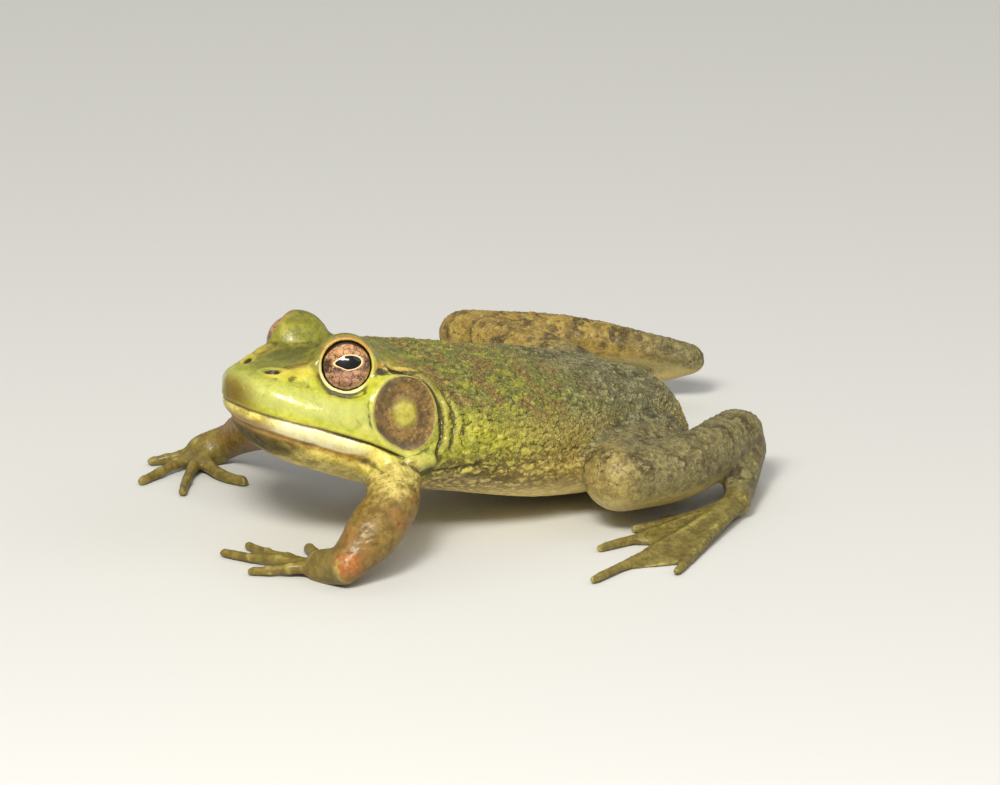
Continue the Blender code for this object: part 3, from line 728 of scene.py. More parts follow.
# %% Skin relief
CALM = {"tympanum": 0.12, "head": 0.26, "jaw": 0.30, "hand": 0.25, "foot": 0.30, "forearm": 0.45,
        "upper_arm": 0.6, "thigh": 0.65, "shank": 0.6, "tarsus": 0.45}
CALM_LIDS = 0.12
CALM_LID_ZONE = (7.6, 9.5)     # distances from the eye's centre
CALM_LIPS = 0.35
LUMPS, CREASES, WARTS, BEADS = 0.30, 0.34, 0.34, 0.20      # heights of the four


def relief_at(forward, left, up):
    """Height of the skin's relief at a place: soft lumps, sunk creases, warts and beads."""
    broad = noise.noise(Vector((forward * 0.15, left * 0.20, up * 0.22)))
    slanted = Vector((forward * 0.26 - up * 0.20 + 9, left * 0.30, up * 0.42 + forward * 0.10))
    crease = max(1 - abs(noise.noise(slanted)) * 5, 0.0)
    wart = noise.voronoi(Vector((forward * 0.50, left * 0.56, up * 0.58)))[0][0]
    bead = noise.voronoi(Vector((forward * 0.95 + 4, left * 1.0, up * 1.05)))[0][0]
    return (LUMPS * broad - CREASES * crease ** 2 + WARTS * max(0.0, 1 - wart / 0.62) ** 1.5
            + BEADS * max(0.0, 1 - bead / 0.60))


kinds = np.array([kind_of(name) for name in flesh])[owner]
normals = skin_surface.normals()
upward = skin_surface.spread(normals, 20)[:, 2]
rough = 0.25 + 0.75 * smooth_step(upward, -0.5, 0.25)
rough *= np.array([CALM.get(kind, 1.0) for kind in kinds])
rough = less_on_lids(rough, skin_surface.places, CALM_LIDS, CALM_LID_ZONE)
on_lips = np.abs(over_mouth(skin_surface.places)) < MARK_REACH
on_lips &= skin_surface.places[:, 0] > MOUTH_HEIGHT[0][0]
rough[on_lips] *= CALM_LIPS
rough = skin_surface.spread(rough, 8)
relief = np.array([relief_at(*place) for place in skin_surface.places.tolist()])
skin_surface.places += normals * (relief * rough)[:, None]
skin_surface.places[:, 2] = np.maximum(skin_surface.places[:, 2], 0.0)
skin_surface.put_back()
print("relief", round(relief.min(), 2), "to", round(relief.max(), 2), "mm")

# %% [markdown]
# ## Fewer faces where little happens
# The skin is now finer than it needs to be on the broad back. Decimation by collapse drops edges
# where the surface is nearly flat and keeps them in slits, lids and fingers, so the piece stays
# light enough to share. What the pattern needs to know is measured after it, on the final points.

# %% Thin out the skin
SKIN_TRIANGLES = 186_000

thin = skin.modifiers.new("thin", "DECIMATE")
thin.ratio = SKIN_TRIANGLES / (2 * len(skin_mesh.polygons))
thin.use_collapse_triangulate = True
skin_mesh = take_in(skin)
skin_mesh.polygons.foreach_set("use_smooth", [True] * len(skin_mesh.polygons))
skin_surface = Surface(skin_mesh)
owner = owners_of(skin_surface.places)
kinds = np.array([kind_of(name) for name in flesh])[owner]
print("skin triangles", len(skin_mesh.polygons))

# %% [markdown]
# ## What the pattern follows
# A frog's colours follow its body: bars run across the legs, the lip has a pale band, the belly is
# pale. Noise alone can't know where those are, so the skin carries a few numbers on its points that
# the material reads by name: how much a point faces up, which limb it is on and how far along it,
# and how deep it sits in a fold.

# %% Measures of the body
def keep(name, values):
    """Store one number per point under a name that the material can read."""
    layer = skin_mesh.attributes.new(name, "FLOAT", "POINT")
    layer.data.foreach_set("value", np.asarray(values, dtype=np.float32))


def share_of(*wanted, rounds=10):
    """1 on these kinds of solids and 0 elsewhere, with a soft edge."""
    return skin_surface.spread(np.isin(kinds, wanted).astype(float), rounds)


places = skin_surface.places
half = left_half(places)
normals = skin_surface.normals()
facing_up = skin_surface.spread(normals, 24)[:, 2]
keep("faces_up", facing_up)
keep("hind_leg", share_of("thigh", "shank", "tarsus", "foot"))
keep("arm", share_of("upper_arm", "forearm", "hand"))
keep("hand", share_of("hand", rounds=16))
keep("foot", share_of("foot", rounds=16))
keep("jaw", share_of("jaw", rounds=4))
keep("trunk", share_of("trunk", rounds=24))

smoothed = skin_surface.spread(places, 14)
sunk = np.einsum("ij,ij->i", smoothed - places, normals)
keep("hollow", np.clip(sunk - skin_surface.spread(sunk, 40), -0.5, 0.5))

along = np.zeros(len(places))
for number, name in enumerate(flesh):
    if kind_of(name) in ("thigh", "shank", "tarsus", "foot", "forearm", "upper_arm"):
        mine = owner == number
        spot = places[mine]
        middle = spot.mean(axis=0)
        axis = np.linalg.svd(spot[::max(1, len(spot) // 2000)] - middle, full_matrices=False)[2][0]
        along[mine] = (spot - middle) @ axis
keep("along_limb", skin_surface.spread(along, 6))
print("measures kept", len(skin_mesh.attributes))

# %% [markdown]
# ## Measures of the face
# The face carries more marks than the rest of the animal, and they sit within a millimetre or two.
# Each is measured from the same line, ring or axis that shaped it, so colour and shape can't drift
# apart. The granules' density is kept too: they leave out the lids, the face and the eardrums.

# %% Measures of the face
on_head = np.isin(kinds, ("head", "jaw", "tympanum")) & (places[:, 0] > 97)
keep("over_mouth", np.where(on_head, np.clip(over_mouth(places), -FAR, FAR), FAR))
keep("mouth_end", smooth_step(places[:, 0], 101.0, 106.5) * on_head)

from_ear = np.full(len(places), FAR)
from_lid = np.full(len(places), FAR)
lid_low = np.zeros(len(places))
lid_under = np.zeros(len(places))
for side in (1, -1):
    radius, height = ear_measures(places, side)
    from_ear = np.where(np.abs(height) < EAR_PLANE_REACH, np.minimum(from_ear, radius), from_ear)
    look, front, top = sight_axes(side)
    away = places - mirrored(EYE, side)
    ahead = away @ look
    outward = np.linalg.norm(away - ahead[:, None] * look, axis=1)
    reach = np.maximum(outward, 1)
    seen = ahead > 0
    from_lid = np.where(seen, np.minimum(from_lid, np.hypot(outward - LID_RING, ahead - LID_AT)), from_lid)
    low = ((away @ front) * 0.45 - (away @ top) * 0.9) / reach
    lid_low = np.where(seen, np.maximum(lid_low, smooth_step(low, 0.1, 0.8)), lid_low)
    under = ((away @ front) * 0.2 - (away @ top) * 0.98) / reach
    lid_under = np.where(seen, np.maximum(lid_under, under), lid_under)
keep("from_ear", from_ear)
keep("from_lid", np.clip(from_lid, 0, FAR))
keep("lid_low", lid_low)
keep("lid_under", lid_under)

ear_plane = in_ear_plane(half, 1)
distance, share = along_path(ear_plane, round_the_ear(EAR_GROOVE))
keep("from_fold", np.minimum(distance - 0.45 * smooth_step(share, 0.05, 0.02), FAR))
distance, share = along_path(ear_plane, round_the_ear(EAR_FOLD))
keep("fold_start", smooth_step(distance, 1.5, 0.5) * smooth_step(share, 0.42, 0.22))
LIP_RIDGE = ((116.0, 21.8, 36.6), (112.4, 23.0, 34.4), (108.6, 24.6, 31.4), (105.0, 25.8, 28.8),
             (101.5, 26.6, 26.4), (96.0, 27.2, 24.8))
keep("from_ridge", np.minimum(along_path(half, laid_on(skin_surface, LIP_RIDGE))[0], FAR))
keep("from_nostril", from_nostril(half, 1))
WRIST = (128.2, 37.5, 6.8)
keep("from_wrist", np.minimum(np.linalg.norm(places - WRIST, axis=1), FAR))
dome = smooth_step(np.linalg.norm(half - EYE, axis=1), 10.8, 9.2) * smooth_step(places[:, 2], 45.0, 49.0)
keep("lid_dome", skin_surface.spread(dome, 4))

WARTY = {"trunk": 1.0, "head": 0.5, "thigh": 0.6, "shank": 0.6, "upper_arm": 0.1}
warty = smooth_step(facing_up, -0.25, 0.25) * np.array([WARTY.get(kind, 0.0) for kind in kinds])
warty *= smooth_step(from_ear, 9.8, 11.4) * smooth_step(from_lid, 1.4, 3.0)
warty *= smooth_step(places[:, 0], 105.0, 99.0)
keep("warty", skin_surface.spread(warty, 6))
print("measures kept", len(skin_mesh.attributes))

# %% [markdown]
# ## Writing shader maths as sums
# A skin like this needs dozens of small sums between noise, masks and colours. Wiring each node by
# hand hides the idea behind plumbing, so a wire is wrapped in a small class: adding or multiplying
# two wires adds the Math node that does it. Colours never go through those, because a Math node
# turns a colour grey; they go through Mix nodes.


# %% Wires
class Wire:
    """A value on its way through a material, which can be added, multiplied and compared."""

    def __init__(self, tree, socket):
        self.tree = tree
        self.socket = socket

    def node(self, kind, settings=None, inputs=None, out=0):
        """Make a node: settings first, then the values or wires of its sockets."""
        made = self.tree.nodes.new(kind)
        for key, value in (settings or {}).items():
            setattr(made, key, value)
        for key, value in (inputs or {}).items():
            if isinstance(value, Wire):
                self.tree.links.new(value.socket, made.inputs[key])
            else:
                made.inputs[key].default_value = value
        return Wire(self.tree, made.outputs[out])

    def maths(self, operation, *values):
        return self.node("ShaderNodeMath", {"operation": operation}, dict(enumerate(values)))

    def __add__(self, other):
        return self.maths("ADD", self, other)

    def __radd__(self, other):
        return self.maths("ADD", other, self)

    def __sub__(self, other):
        return self.maths("SUBTRACT", self, other)

    def __rsub__(self, other):
        return self.maths("SUBTRACT", other, self)

    def __mul__(self, other):
        return self.maths("MULTIPLY", self, other)

    def larger(self, other):
        return self.maths("MAXIMUM", self, other)

    def wave(self):
        return self.maths("SINE", self)

    def size(self):
        return self.maths("ABSOLUTE", self)

    def root(self):
        return self.maths("SQRT", self)

    def step(self, low, high):
        """0 below low, 1 above high, and an easy curve between; low may be the larger one."""
        ends = {"From Min": low, "From Max": high}
        if low > high:
            ends = {"From Min": high, "From Max": low, "To Min": 1.0, "To Max": 0.0}
        return self.node("ShaderNodeMapRange", {"interpolation_type": "SMOOTHSTEP"},
                         {"Value": self, **ends})

    def blend(self, bottom, top):
        """The bottom colour where this wire is 0 and the top one where it is 1."""
        bottom, top = [tone if isinstance(tone, Wire) else colour(*tone) for tone in (bottom, top)]
        return self.node("ShaderNodeMix", {"data_type": "RGBA"}, {0: self, 6: bottom, 7: top}, out=2)


def colour(red, green, blue):
    """A colour from its screen values, 0 to 255, in the linear values that shaders use."""
    linear = []
    for part in (red, green, blue):
        part = part / 255
        linear.append(part / 12.92 if part < 0.04045 else ((part + 0.055) / 1.055) ** 2.4)
    return (*linear, 1.0)


print("a mid grey is", round(colour(128, 128, 128)[0], 3), "in linear values")

# %% [markdown]
# ## A finish
# Skin, eye and floor each get one Principled shader. What they need again and again is the same few
# things: noise in clouds of a size in millimetres, cells, a number kept on the mesh, and a bump. A
# small class holds them, so that a finish below is read as a list of colours and masks.


# %% Finishes
class Finish:
    """A new material, with a wire for its object coordinates and its shader at hand."""

    def __init__(self, name):
        self.material = bpy.data.materials.new(name)
        self.material.use_nodes = True
        self.tree = self.material.node_tree
        self.shader = self.tree.nodes["Principled BSDF"]
        self.place = Wire(self.tree, self.tree.nodes.new("ShaderNodeTexCoord").outputs["Object"])

    def read(self, name):
        """A number kept on the mesh's points."""
        made = self.tree.nodes.new("ShaderNodeAttribute")
        made.attribute_name = name
        return Wire(self.tree, made.outputs["Fac"])

    def vector_maths(self, operation, inputs):
        return self.place.node("ShaderNodeVectorMath", {"operation": operation}, inputs)

    def stretched(self, place, size, stretch, shift=0.0):
        """A place in units of this size in millimetres, with a pattern stretched along the axes."""
        scale = tuple(part / (size * MM) for part in stretch)
        return self.place.node("ShaderNodeMapping", None, {
            "Vector": place, "Location": (shift, shift, 0.0), "Scale": scale})

    def warped(self, size, amount):
        """The object coordinates, pushed about by noise of this size, both in millimetres."""
        swirl = self.place.node("ShaderNodeTexNoise", None,
                                {"Vector": self.place, "Scale": 1 / (size * MM)}, out=1)
        push = self.vector_maths("SUBTRACT", {0: swirl, 1: (0.5, 0.5, 0.5)})
        push = self.vector_maths("SCALE", {0: push, "Scale": amount * 2 * MM})
        return self.vector_maths("ADD", {0: self.place, 1: push})

    def noise(self, size, detail=2.0, roughness=0.5, stretch=(1.0, 1.0, 1.0), shift=0.0):
        """Cloudy noise, 0 to 1, with clouds of this size in millimetres."""
        place = self.stretched(self.place, size, stretch, shift)
        return self.place.node("ShaderNodeTexNoise", None, {
            "Vector": place, "Scale": 1.0, "Detail": detail, "Roughness": roughness})

    def cells(self, size, feature="F1", stretch=(1.0, 1.0, 1.0), place=None):
        """Distance pattern of scattered cells of this size in millimetres."""
        place = self.stretched(place or self.place, size, stretch)
        return self.place.node("ShaderNodeTexVoronoi", {"feature": feature}, {
            "Vector": place, "Scale": 1.0, "Randomness": 1.0})

    def feed(self, socket, wire):
        self.tree.links.new(wire.socket, self.shader.inputs[socket])

    def bump(self, wire, strength, distance):
        """Bumps from a height of 0 to 1; the distance is in millimetres."""
        self.feed("Normal", self.place.node("ShaderNodeBump", None, {
            "Strength": strength, "Distance": distance * MM, "Height": wire}))

    def set(self, **values):
        for key, value in values.items():
            self.shader.inputs[key.replace("_", " ")].default_value = value


floor_finish = Finish("floor_paint")
floor_finish.set(Base_Color=(0.62, 0.62, 0.60, 1.0), Roughness=0.6)
print("floor finish nodes", len(floor_finish.tree.nodes))

# %% [markdown]
# ## What the skin is painted with
# Green is strongest on the lips and shoulders, and turns olive and brown along the back and grey
# near the rump. The next cells lay each of these as a plain colour over the last one through a
# mask, from the largest area to the smallest mark, as a model painter does. This one makes what the
# masks share: the numbers kept on the skin, and noises from broad clouds to fine flecks.

# %% Numbers and noises to paint with
skin_finish = Finish("frog_skin")
read = skin_finish.read
up = read("faces_up")
hind = read("hind_leg")
arm = read("arm")
split = skin_finish.place.node("ShaderNodeSeparateXYZ", None, {0: skin_finish.place})
x, y, z = [Wire(split.tree, socket) for socket in split.socket.node.outputs]
left = (x - MIDLINE) * (1 / MM)
forward = (EYE_Y - y) * (1 / MM) + float(EYE[0])
height = z * (1 / MM)

broad = skin_finish.noise(16.0, detail=2.0, shift=11.0)
blotch = skin_finish.noise(5.5, detail=3.0)
streak = skin_finish.noise(2.6, detail=3.0, stretch=(1.0, 0.45, 1.4), shift=7.0)
mottle = skin_finish.noise(2.2, detail=4.0, roughness=0.6)
fleck = skin_finish.noise(0.9, detail=3.0, roughness=0.6, shift=3.0)
grain = skin_finish.cells(0.75)


def rough_edge(value, amount, by=mottle):
    """A value with noise added, so that a step in it gets a ragged edge this wide."""
    return value + (by - 0.5) * amount


def mottled(dark, pale, low=0.4, high=0.6):
    """Two shades in soft patches; a narrower range from low to high makes their edges harder."""
    return mottle.step(low, high).blend(dark, pale)


def painted(base, *layers):
    """The base colour with layers of (mask, colour) laid over it, one after the other."""
    for mask, tone in layers:
        base = mask.blend(base, tone)
    return base


def tell(part):
    print(part, "painted,", len(skin_finish.tree.nodes), "nodes")


tell("nothing yet")

# %% [markdown]
# ## Back and flanks
# The back is olive with green and brown patches and turns grey towards the rump, where large dark
# spots appear. The flank is yellower, and a net of dark lines runs over its lower half. The two
# meet where the skin turns from facing up to facing sideways, along an edge that noise makes
# ragged, because a pattern painted up to a clean line would look like a costume.

# %% Paint the back and the flanks
rear = rough_edge(forward, 22.0, broad).step(62.0, 34.0)
spots = skin_finish.cells(8.5).step(0.34, 0.22) * rear * up.step(0.0, 0.5)
back = painted(
    mottled((96, 98, 44), (124, 122, 60), 0.42, 0.62),
    (blotch.step(0.46, 0.60) * 0.8, (126, 98, 56)),
    (streak.step(0.54, 0.66) * 0.8, (146, 144, 48)),
    (fleck.step(0.56, 0.70) * 0.6, (160, 164, 66)),
    (fleck.step(0.44, 0.34) * 0.6, (70, 64, 32)),
    (rear * 0.8, streak.step(0.42, 0.62).blend((92, 90, 66), (128, 122, 96))),
    (spots * 0.75, (62, 60, 42)))

front = forward.step(58.0, 84.0)
low = rough_edge(height, 6.0).step(24.5, 16.5)
high = 1.0 - low
net = skin_finish.cells(2.3, "DISTANCE_TO_EDGE", (1.0, 0.6, 1.3), skin_finish.warped(4.0, 2.2))
net = rough_edge(net, 0.3, fleck).step(0.26, 0.10)
net_zone = rough_edge(height, 8.0, blotch).step(28.0, 21.0) * height.step(8.0, 13.0)
flank = painted(
    mottled((130, 130, 38), (164, 160, 46)),
    (1.0 - front, mottled((128, 112, 54), (156, 140, 72))),
    (low * 0.9, mottled((150, 126, 56), (196, 176, 96))),
    (net * net_zone * (front * 0.45 + 0.45), (72, 58, 28)),
    (fleck.step(0.58, 0.68) * low * 0.6, (222, 206, 130)),
    (fleck.step(0.56, 0.66) * high * 0.5, (196, 196, 84)),
    (streak.step(0.60, 0.70) * high * 0.6, (92, 84, 36)))
body = rough_edge(up, 0.5).step(0.28, 0.74).blend(flank, back)
tell("body")

# %% [markdown]
# ## Head
# The sides of the head and the upper lip are the most vivid green of the animal, with a painted
# sheen where the wet lip shines, and the crown between the eyes is dark olive. The tip of the snout
# is brown, a yellow edge runs from nostril to lid, and the dome over each eye is dull green. The
# head's colours fade into the body's at the neck.

# %% Paint the head
over = read("over_mouth")
# painted sheen: a pale streak on the upper lip stands for the wet skin's broad highlight
painted_lip_sheen = rough_edge(over, 3.0).step(1.2, 3.2) * over.step(10.0, 6.5)
painted_lip_sheen = painted_lip_sheen * forward.step(105.0, 112.0) * forward.step(138.0, 134.0)
crown = rough_edge(up, 0.3, blotch).step(0.66, 0.98) * height.step(45.0, 49.5)
snout_edge = height.step(45.5, 47.5) * height.step(52.0, 50.0)
snout_edge = snout_edge * forward.step(115.0, 118.5) * left.size().step(4.0, 6.5)
tip = rough_edge(forward, 2.0).step(132.3, 136.3)
head = painted(
    mottled((160, 164, 44), (184, 184, 56), 0.35, 0.65),
    (blotch.step(0.46, 0.66) * 0.30, (142, 146, 44)),
    (fleck.step(0.58, 0.72) * 0.30, (122, 124, 40)),
    # painted sheen on the wet lip
    (painted_lip_sheen * 0.5, (178, 180, 108)),
    (crown, mottled((69, 68, 22), (88, 86, 30), 0.38, 0.62)),
    (snout_edge * 0.40, (200, 166, 48)),
    (tip * 0.9, (100, 70, 10)))
dome = read("lid_dome")
whole = painted(
    body,
    (rough_edge(forward, 8.0).step(92.0, 104.0), head),
    (dome * 0.85, mottled((100, 98, 30), (130, 126, 42), 0.38, 0.62)))
tell("head")

# %% [markdown]
# ## Belly and throat
# The underside is cream, and the flank's dark net fades out over its edge. A male's throat is
# yellow with brown specks. The throat is bounded by the solid of the jaw, the belly only by how far
# the skin faces down.

# %% Paint the underside
belly = painted(
    mottled((228, 208, 140), (206, 184, 108), 0.35, 0.65),
    (net * height.step(7.0, 15.0) * 0.7, (112, 88, 44)),
    (fleck.step(0.56, 0.66) * height.step(6.0, 13.0) * 0.6, (96, 80, 42)))
throat = painted(
    mottled((190, 168, 66), (232, 214, 118), 0.36, 0.64),
    (blotch.step(0.52, 0.62) * 0.4, (140, 122, 52)),
    (fleck.step(0.58, 0.68) * 0.7, (92, 78, 38)))
pale = rough_edge(rough_edge(up, 0.9, streak), 0.4).step(-0.40, -0.85) * (1.0 - hind * 0.5)
jaw = read("jaw")
whole = painted(whole, (pale, belly), (jaw * read("mouth_end").larger(jaw), throat))
tell("underside")

# %% [markdown]
# ## Arms and legs
# The arms are brown and orange-brown below a pale shoulder. The legs carry dark bars across them,
# which is what hides a sitting frog best, since the bars of thigh, shank and foot line up when the
# leg is folded. A sine along each limb gives the bars, and noise bends and breaks them.

# %% Paint the limbs
shoulder = painted(
    mottled((156, 140, 66), (200, 182, 104), 0.38, 0.60),
    (fleck.step(0.56, 0.66) * 0.7, (100, 84, 40)))
arm_tone = painted(
    mottled((104, 82, 36), (132, 108, 50), 0.36, 0.64),
    (blotch.step(0.48, 0.62) * 0.6, (140, 96, 48)),
    (rough_edge(height, 5.0).step(19.0, 23.5), shoulder))

knee = rough_edge(forward, 6.0).step(44.0, 54.0) * left.step(20.0, 30.0)
right_leg = left.step(-22.0, -40.0) * forward.step(-24.0, -4.0)
bent = (mottle - 0.5) * 7.0 + (blotch - 0.5) * 9.0 + (broad - 0.5) * 9.0
bars = (read("along_limb") * 0.60 + bent).wave().step(0.30, 0.85)
bars = bars * rough_edge(up, 0.8).step(-0.1, 0.5) * (0.35 + blotch.step(0.40, 0.58) * 0.65)
leg_spots = rough_edge(skin_finish.cells(5.2), 0.3, fleck).step(0.30, 0.20) * up.step(-0.4, 0.0)
leg_tone = painted(
    mottled((104, 96, 60), (130, 120, 80), 0.36, 0.64),
    (knee * 0.6, mottled((140, 118, 58), (170, 148, 78), 0.36, 0.64)),
    (right_leg * 0.8, mottled((140, 112, 48), (170, 142, 66), 0.36, 0.64)),
    (bars * 0.8, (64, 52, 32)),
    (leg_spots * 0.6, (66, 54, 34)),
    (fleck.step(0.58, 0.68) * 0.45, (78, 66, 38)),
    (fleck.step(0.42, 0.34) * 0.35, (176, 158, 92)),
    (up.step(-0.15, -0.65), (186, 168, 108)))

digits = read("hand").larger(read("foot"))
wrist = rough_edge(read("from_wrist"), 5.0).step(5.0, 1.6)
whole = painted(
    whole,
    (arm.step(0.35, 0.95), arm_tone),
    (hind.step(0.25, 0.9), leg_tone),
    (digits.step(0.4, 1.0) * 0.8, mottled((102, 90, 38), (126, 112, 50))),
    (wrist * 0.75, fleck.step(0.4, 0.6).blend((146, 84, 40), (178, 112, 62))))
tell("limbs")

# %% [markdown]
# ## Lips
# The lower lip is a cream band with a painted orange-brown shadow under it, and the chin below is
# dark, partly its own olive colour and partly painted shade. The slit itself is painted shade,
# nearly black at the back, where it is deep, and brown at the front, where the lips press together.
# All of these are steps in one number, the height over the slit.

# %% Paint the lips
end = read("mouth_end")
# the chin: its own olive colour, darkened further by painted shade
olive_and_shaded_chin = over.step(-4.2, -5.8) * rough_edge(forward, 8.0, blotch).step(121.0, 129.0) * end
# painted shadow: an orange-brown strip under the cream band
painted_band_shadow = over.step(-6.6, -4.6) * over.step(-1.6, -3.0) * end * forward.step(110.0, 116.0)
fuller = forward.step(134.0, 125.0) * forward.step(113.0, 119.0) * 0.9
band = rough_edge(over + fuller, 0.9).step(-3.7, -2.9) * over.step(0.25, -0.15) * end
band = band * forward.step(110.5, 115.5) * rough_edge(forward, 2.0).step(133.0, 129.5)
# painted shade in the mouth's slit, black at the back and brown at the front
painted_slit_shade = over.size().step(0.45, 0.12) * end * (1.0 - forward.step(117.0, 121.0) * 0.45)
whole = painted(
    whole,
    (olive_and_shaded_chin * 0.95, mottled((44, 36, 12), (74, 62, 22), 0.35, 0.6)),
    (painted_band_shadow * 0.7, (160, 112, 50)),
    (band, mottled((240, 232, 188), (230, 217, 160))),
    (painted_slit_shade * 0.85, forward.step(116.5, 122.0).blend((44, 36, 20), (150, 106, 46))))
tell("lips")

# %% [markdown]
# ## Eardrum, ear fold and nostrils
# The eardrum is brown leather stippled with pale and dark grains round a green button, and a thin
# dark line rims it. Over it the fold starts orange-tan behind the eye, with painted shade, nearly
# black, in the groove under its edge. A frog's face is recognised by these marks, so each has its
# own measured distance.

# %% Paint the ear and the nostrils
ear = read("from_ear")
drum = painted(
    mottled((102, 76, 34), (135, 105, 50), 0.36, 0.62),
    (fleck.step(0.54, 0.64) * 0.7, (76, 56, 32)),
    (fleck.step(0.42, 0.34) * 0.5, (176, 146, 92)),
    (skin_finish.cells(0.42).step(0.30, 0.12) * 0.35, (190, 152, 108)),
    (rough_edge(ear, 1.8).step(4.6, 2.4), mottled((138, 126, 24), (168, 156, 34))))
behind_ear = ear.step(15.5, 12.5) * forward.step(95.0, 91.5) * rough_edge(height, 4.0).step(27.0, 30.0)
nostril = read("from_nostril")
whole = painted(
    whole,
    (behind_ear * 0.55, (128, 116, 12)),
    (ear.step(9.35, 9.0), drum),
    ((ear - 9.45).size().step(0.36, 0.10) * 0.45, (70, 58, 30)),
    (read("fold_start") * 0.75, mottled((176, 126, 48), (206, 160, 84))),
    # painted shade in the groove under the ear fold
    (read("from_fold").step(0.62, 0.22) * 0.9, (36, 28, 16)),
    (read("from_ridge").step(1.5, 0.5) * 0.5, (190, 186, 84)),
    # painted shade in the nostril's pit
    (nostril.step(1.15, 0.75) * 0.95, (36, 27, 16)))
tell("ear and nostrils")

# %% [markdown]
# ## Painted shade in folds, and grain
# A number for how deep each point sits paints shade into the folds and light onto the ridges.
# Without it the same folds look like moulded rubber. A grain of small cells then paints shade
# between the skin's finest bumps and light on their tops, on the back and legs.

# %% Paint shade and light into the folds and the grain
hollow = read("hollow")
coarse = (1.0 - forward.step(94.0, 106.0) * 0.65) * (1.0 - pale)
patchy = 0.25 + blotch.step(0.35, 0.65) * 0.75
whole = painted(
    whole,
    # painted shade in the folds, and painted light on the ridges
    (hollow.step(0.04, 0.22) * (1.0 - digits * 0.6) * 0.75, (52, 44, 22)),
    (hollow.step(-0.05, -0.22) * 0.30, (206, 198, 108)),
    # painted shade between the finest bumps, and painted light on their tops
    (grain.step(0.45, 0.75) * 0.34 * coarse * patchy, (56, 48, 26)),
    (grain.step(0.22, 0.05) * 0.26 * coarse, (206, 198, 112)))
tell("folds and grain")

# %% [markdown]
# ## Lids
# A frog's eye is framed by a thin margin, tan above and pale yellow below. Under the eye lies the
# folded third eyelid, a clear skin that the frog draws up under water, and its edge shows as a grey
# crescent. These come last, because nothing on the skin lies over them.

# %% Paint the lids
lid = read("from_lid")
lower = read("lid_low")
above_eye = height.step(50.0, 52.5)
margin = (lid + 0.14 - lower * 0.29).step(0.80, 0.50)
margin_tone = painted(lower.blend((186, 172, 76), (226, 216, 158)), (above_eye * 0.9, (180, 132, 56)))
third_lid = ((lid - 1.55).size() + (1.0 - read("lid_under")) * 3.5).step(1.10, 0.75)
whole = painted(
    whole,
    (lid.step(2.6, 1.0) * above_eye * 0.7, mottled((140, 104, 40), (168, 132, 56))),
    (margin * 0.9, margin_tone),
    (third_lid * 0.9, mottled((50, 50, 48), (92, 90, 84))))
tell("lids")

# %% [markdown]
# ## Gloss and bump
# The head and the lips are the wettest and get a clear coat, while the warty back, the arms and the
# tip of the snout stay duller. The smallest bumps are left to a Bump node, which is cheap and holds
# up at this size because none of them reaches the outline.

# %% Feed the skin's shader
wet = 0.52 + (mottle - 0.5) * 0.22 + grain * 0.10 - forward.step(84.0, 104.0) * 0.14
shine = rough_edge(forward, 10.0).step(84.0, 104.0) * up.step(0.80, 0.45)
dull = (1.0 - tip) * (1.0 - arm * 0.8) * (1.0 - nostril.step(1.5, 1.0))
coated = up.step(-0.10, 0.30).larger(band * 0.6) * dull
smooth_parts = (ear.step(9.4, 8.8) * 0.5).larger(band * 0.8).larger(margin)
bumps = (1.0 - grain) * 0.55 + mottle * 0.35 + fleck * 0.30
bumps = bumps * (1.0 - smooth_parts * 0.85) * (1.0 + (dome + read("trunk")) * 0.7)
skin_finish.feed("Base Color", whole)
skin_finish.feed("Roughness", wet + olive_and_shaded_chin * 0.35 + tip * 0.15)
skin_finish.feed("Coat Weight", (0.15 + shine * 0.85) * coated)
skin_finish.set(Coat_Roughness=0.26, Specular_IOR_Level=0.28)
skin_finish.bump(bumps, strength=0.75, distance=0.18)

skin_mesh.materials.clear()
skin_mesh.materials.append(skin_finish.material)
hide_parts(*flesh)
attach(skin, "root")
print("skin material nodes", len(skin_finish.tree.nodes))

# %% [markdown]
# ## Granules
# The back, the flanks and the tops of the hind legs are set with thousands of tiny hard beads, which
# catch the light one by one. A bump map would vanish at the outline, so Geometry Nodes scatter real
# beads over the skin where a number on its points allows them, half sunk. The beads keep the
# numbers of the skin under them, so the same material gives each one its place's colour.

# %% Scatter the granules
GRANULES_PER_MM2 = 1.05
GRANULE_RADIUS = (0.28, 0.50)
GRANULE_FLATNESS = 0.45
SMALLEST_SHARE = 0.45      # size of a granule where they are just thinning out
SCATTER_SEED = 4
SIZE_SEED = 9


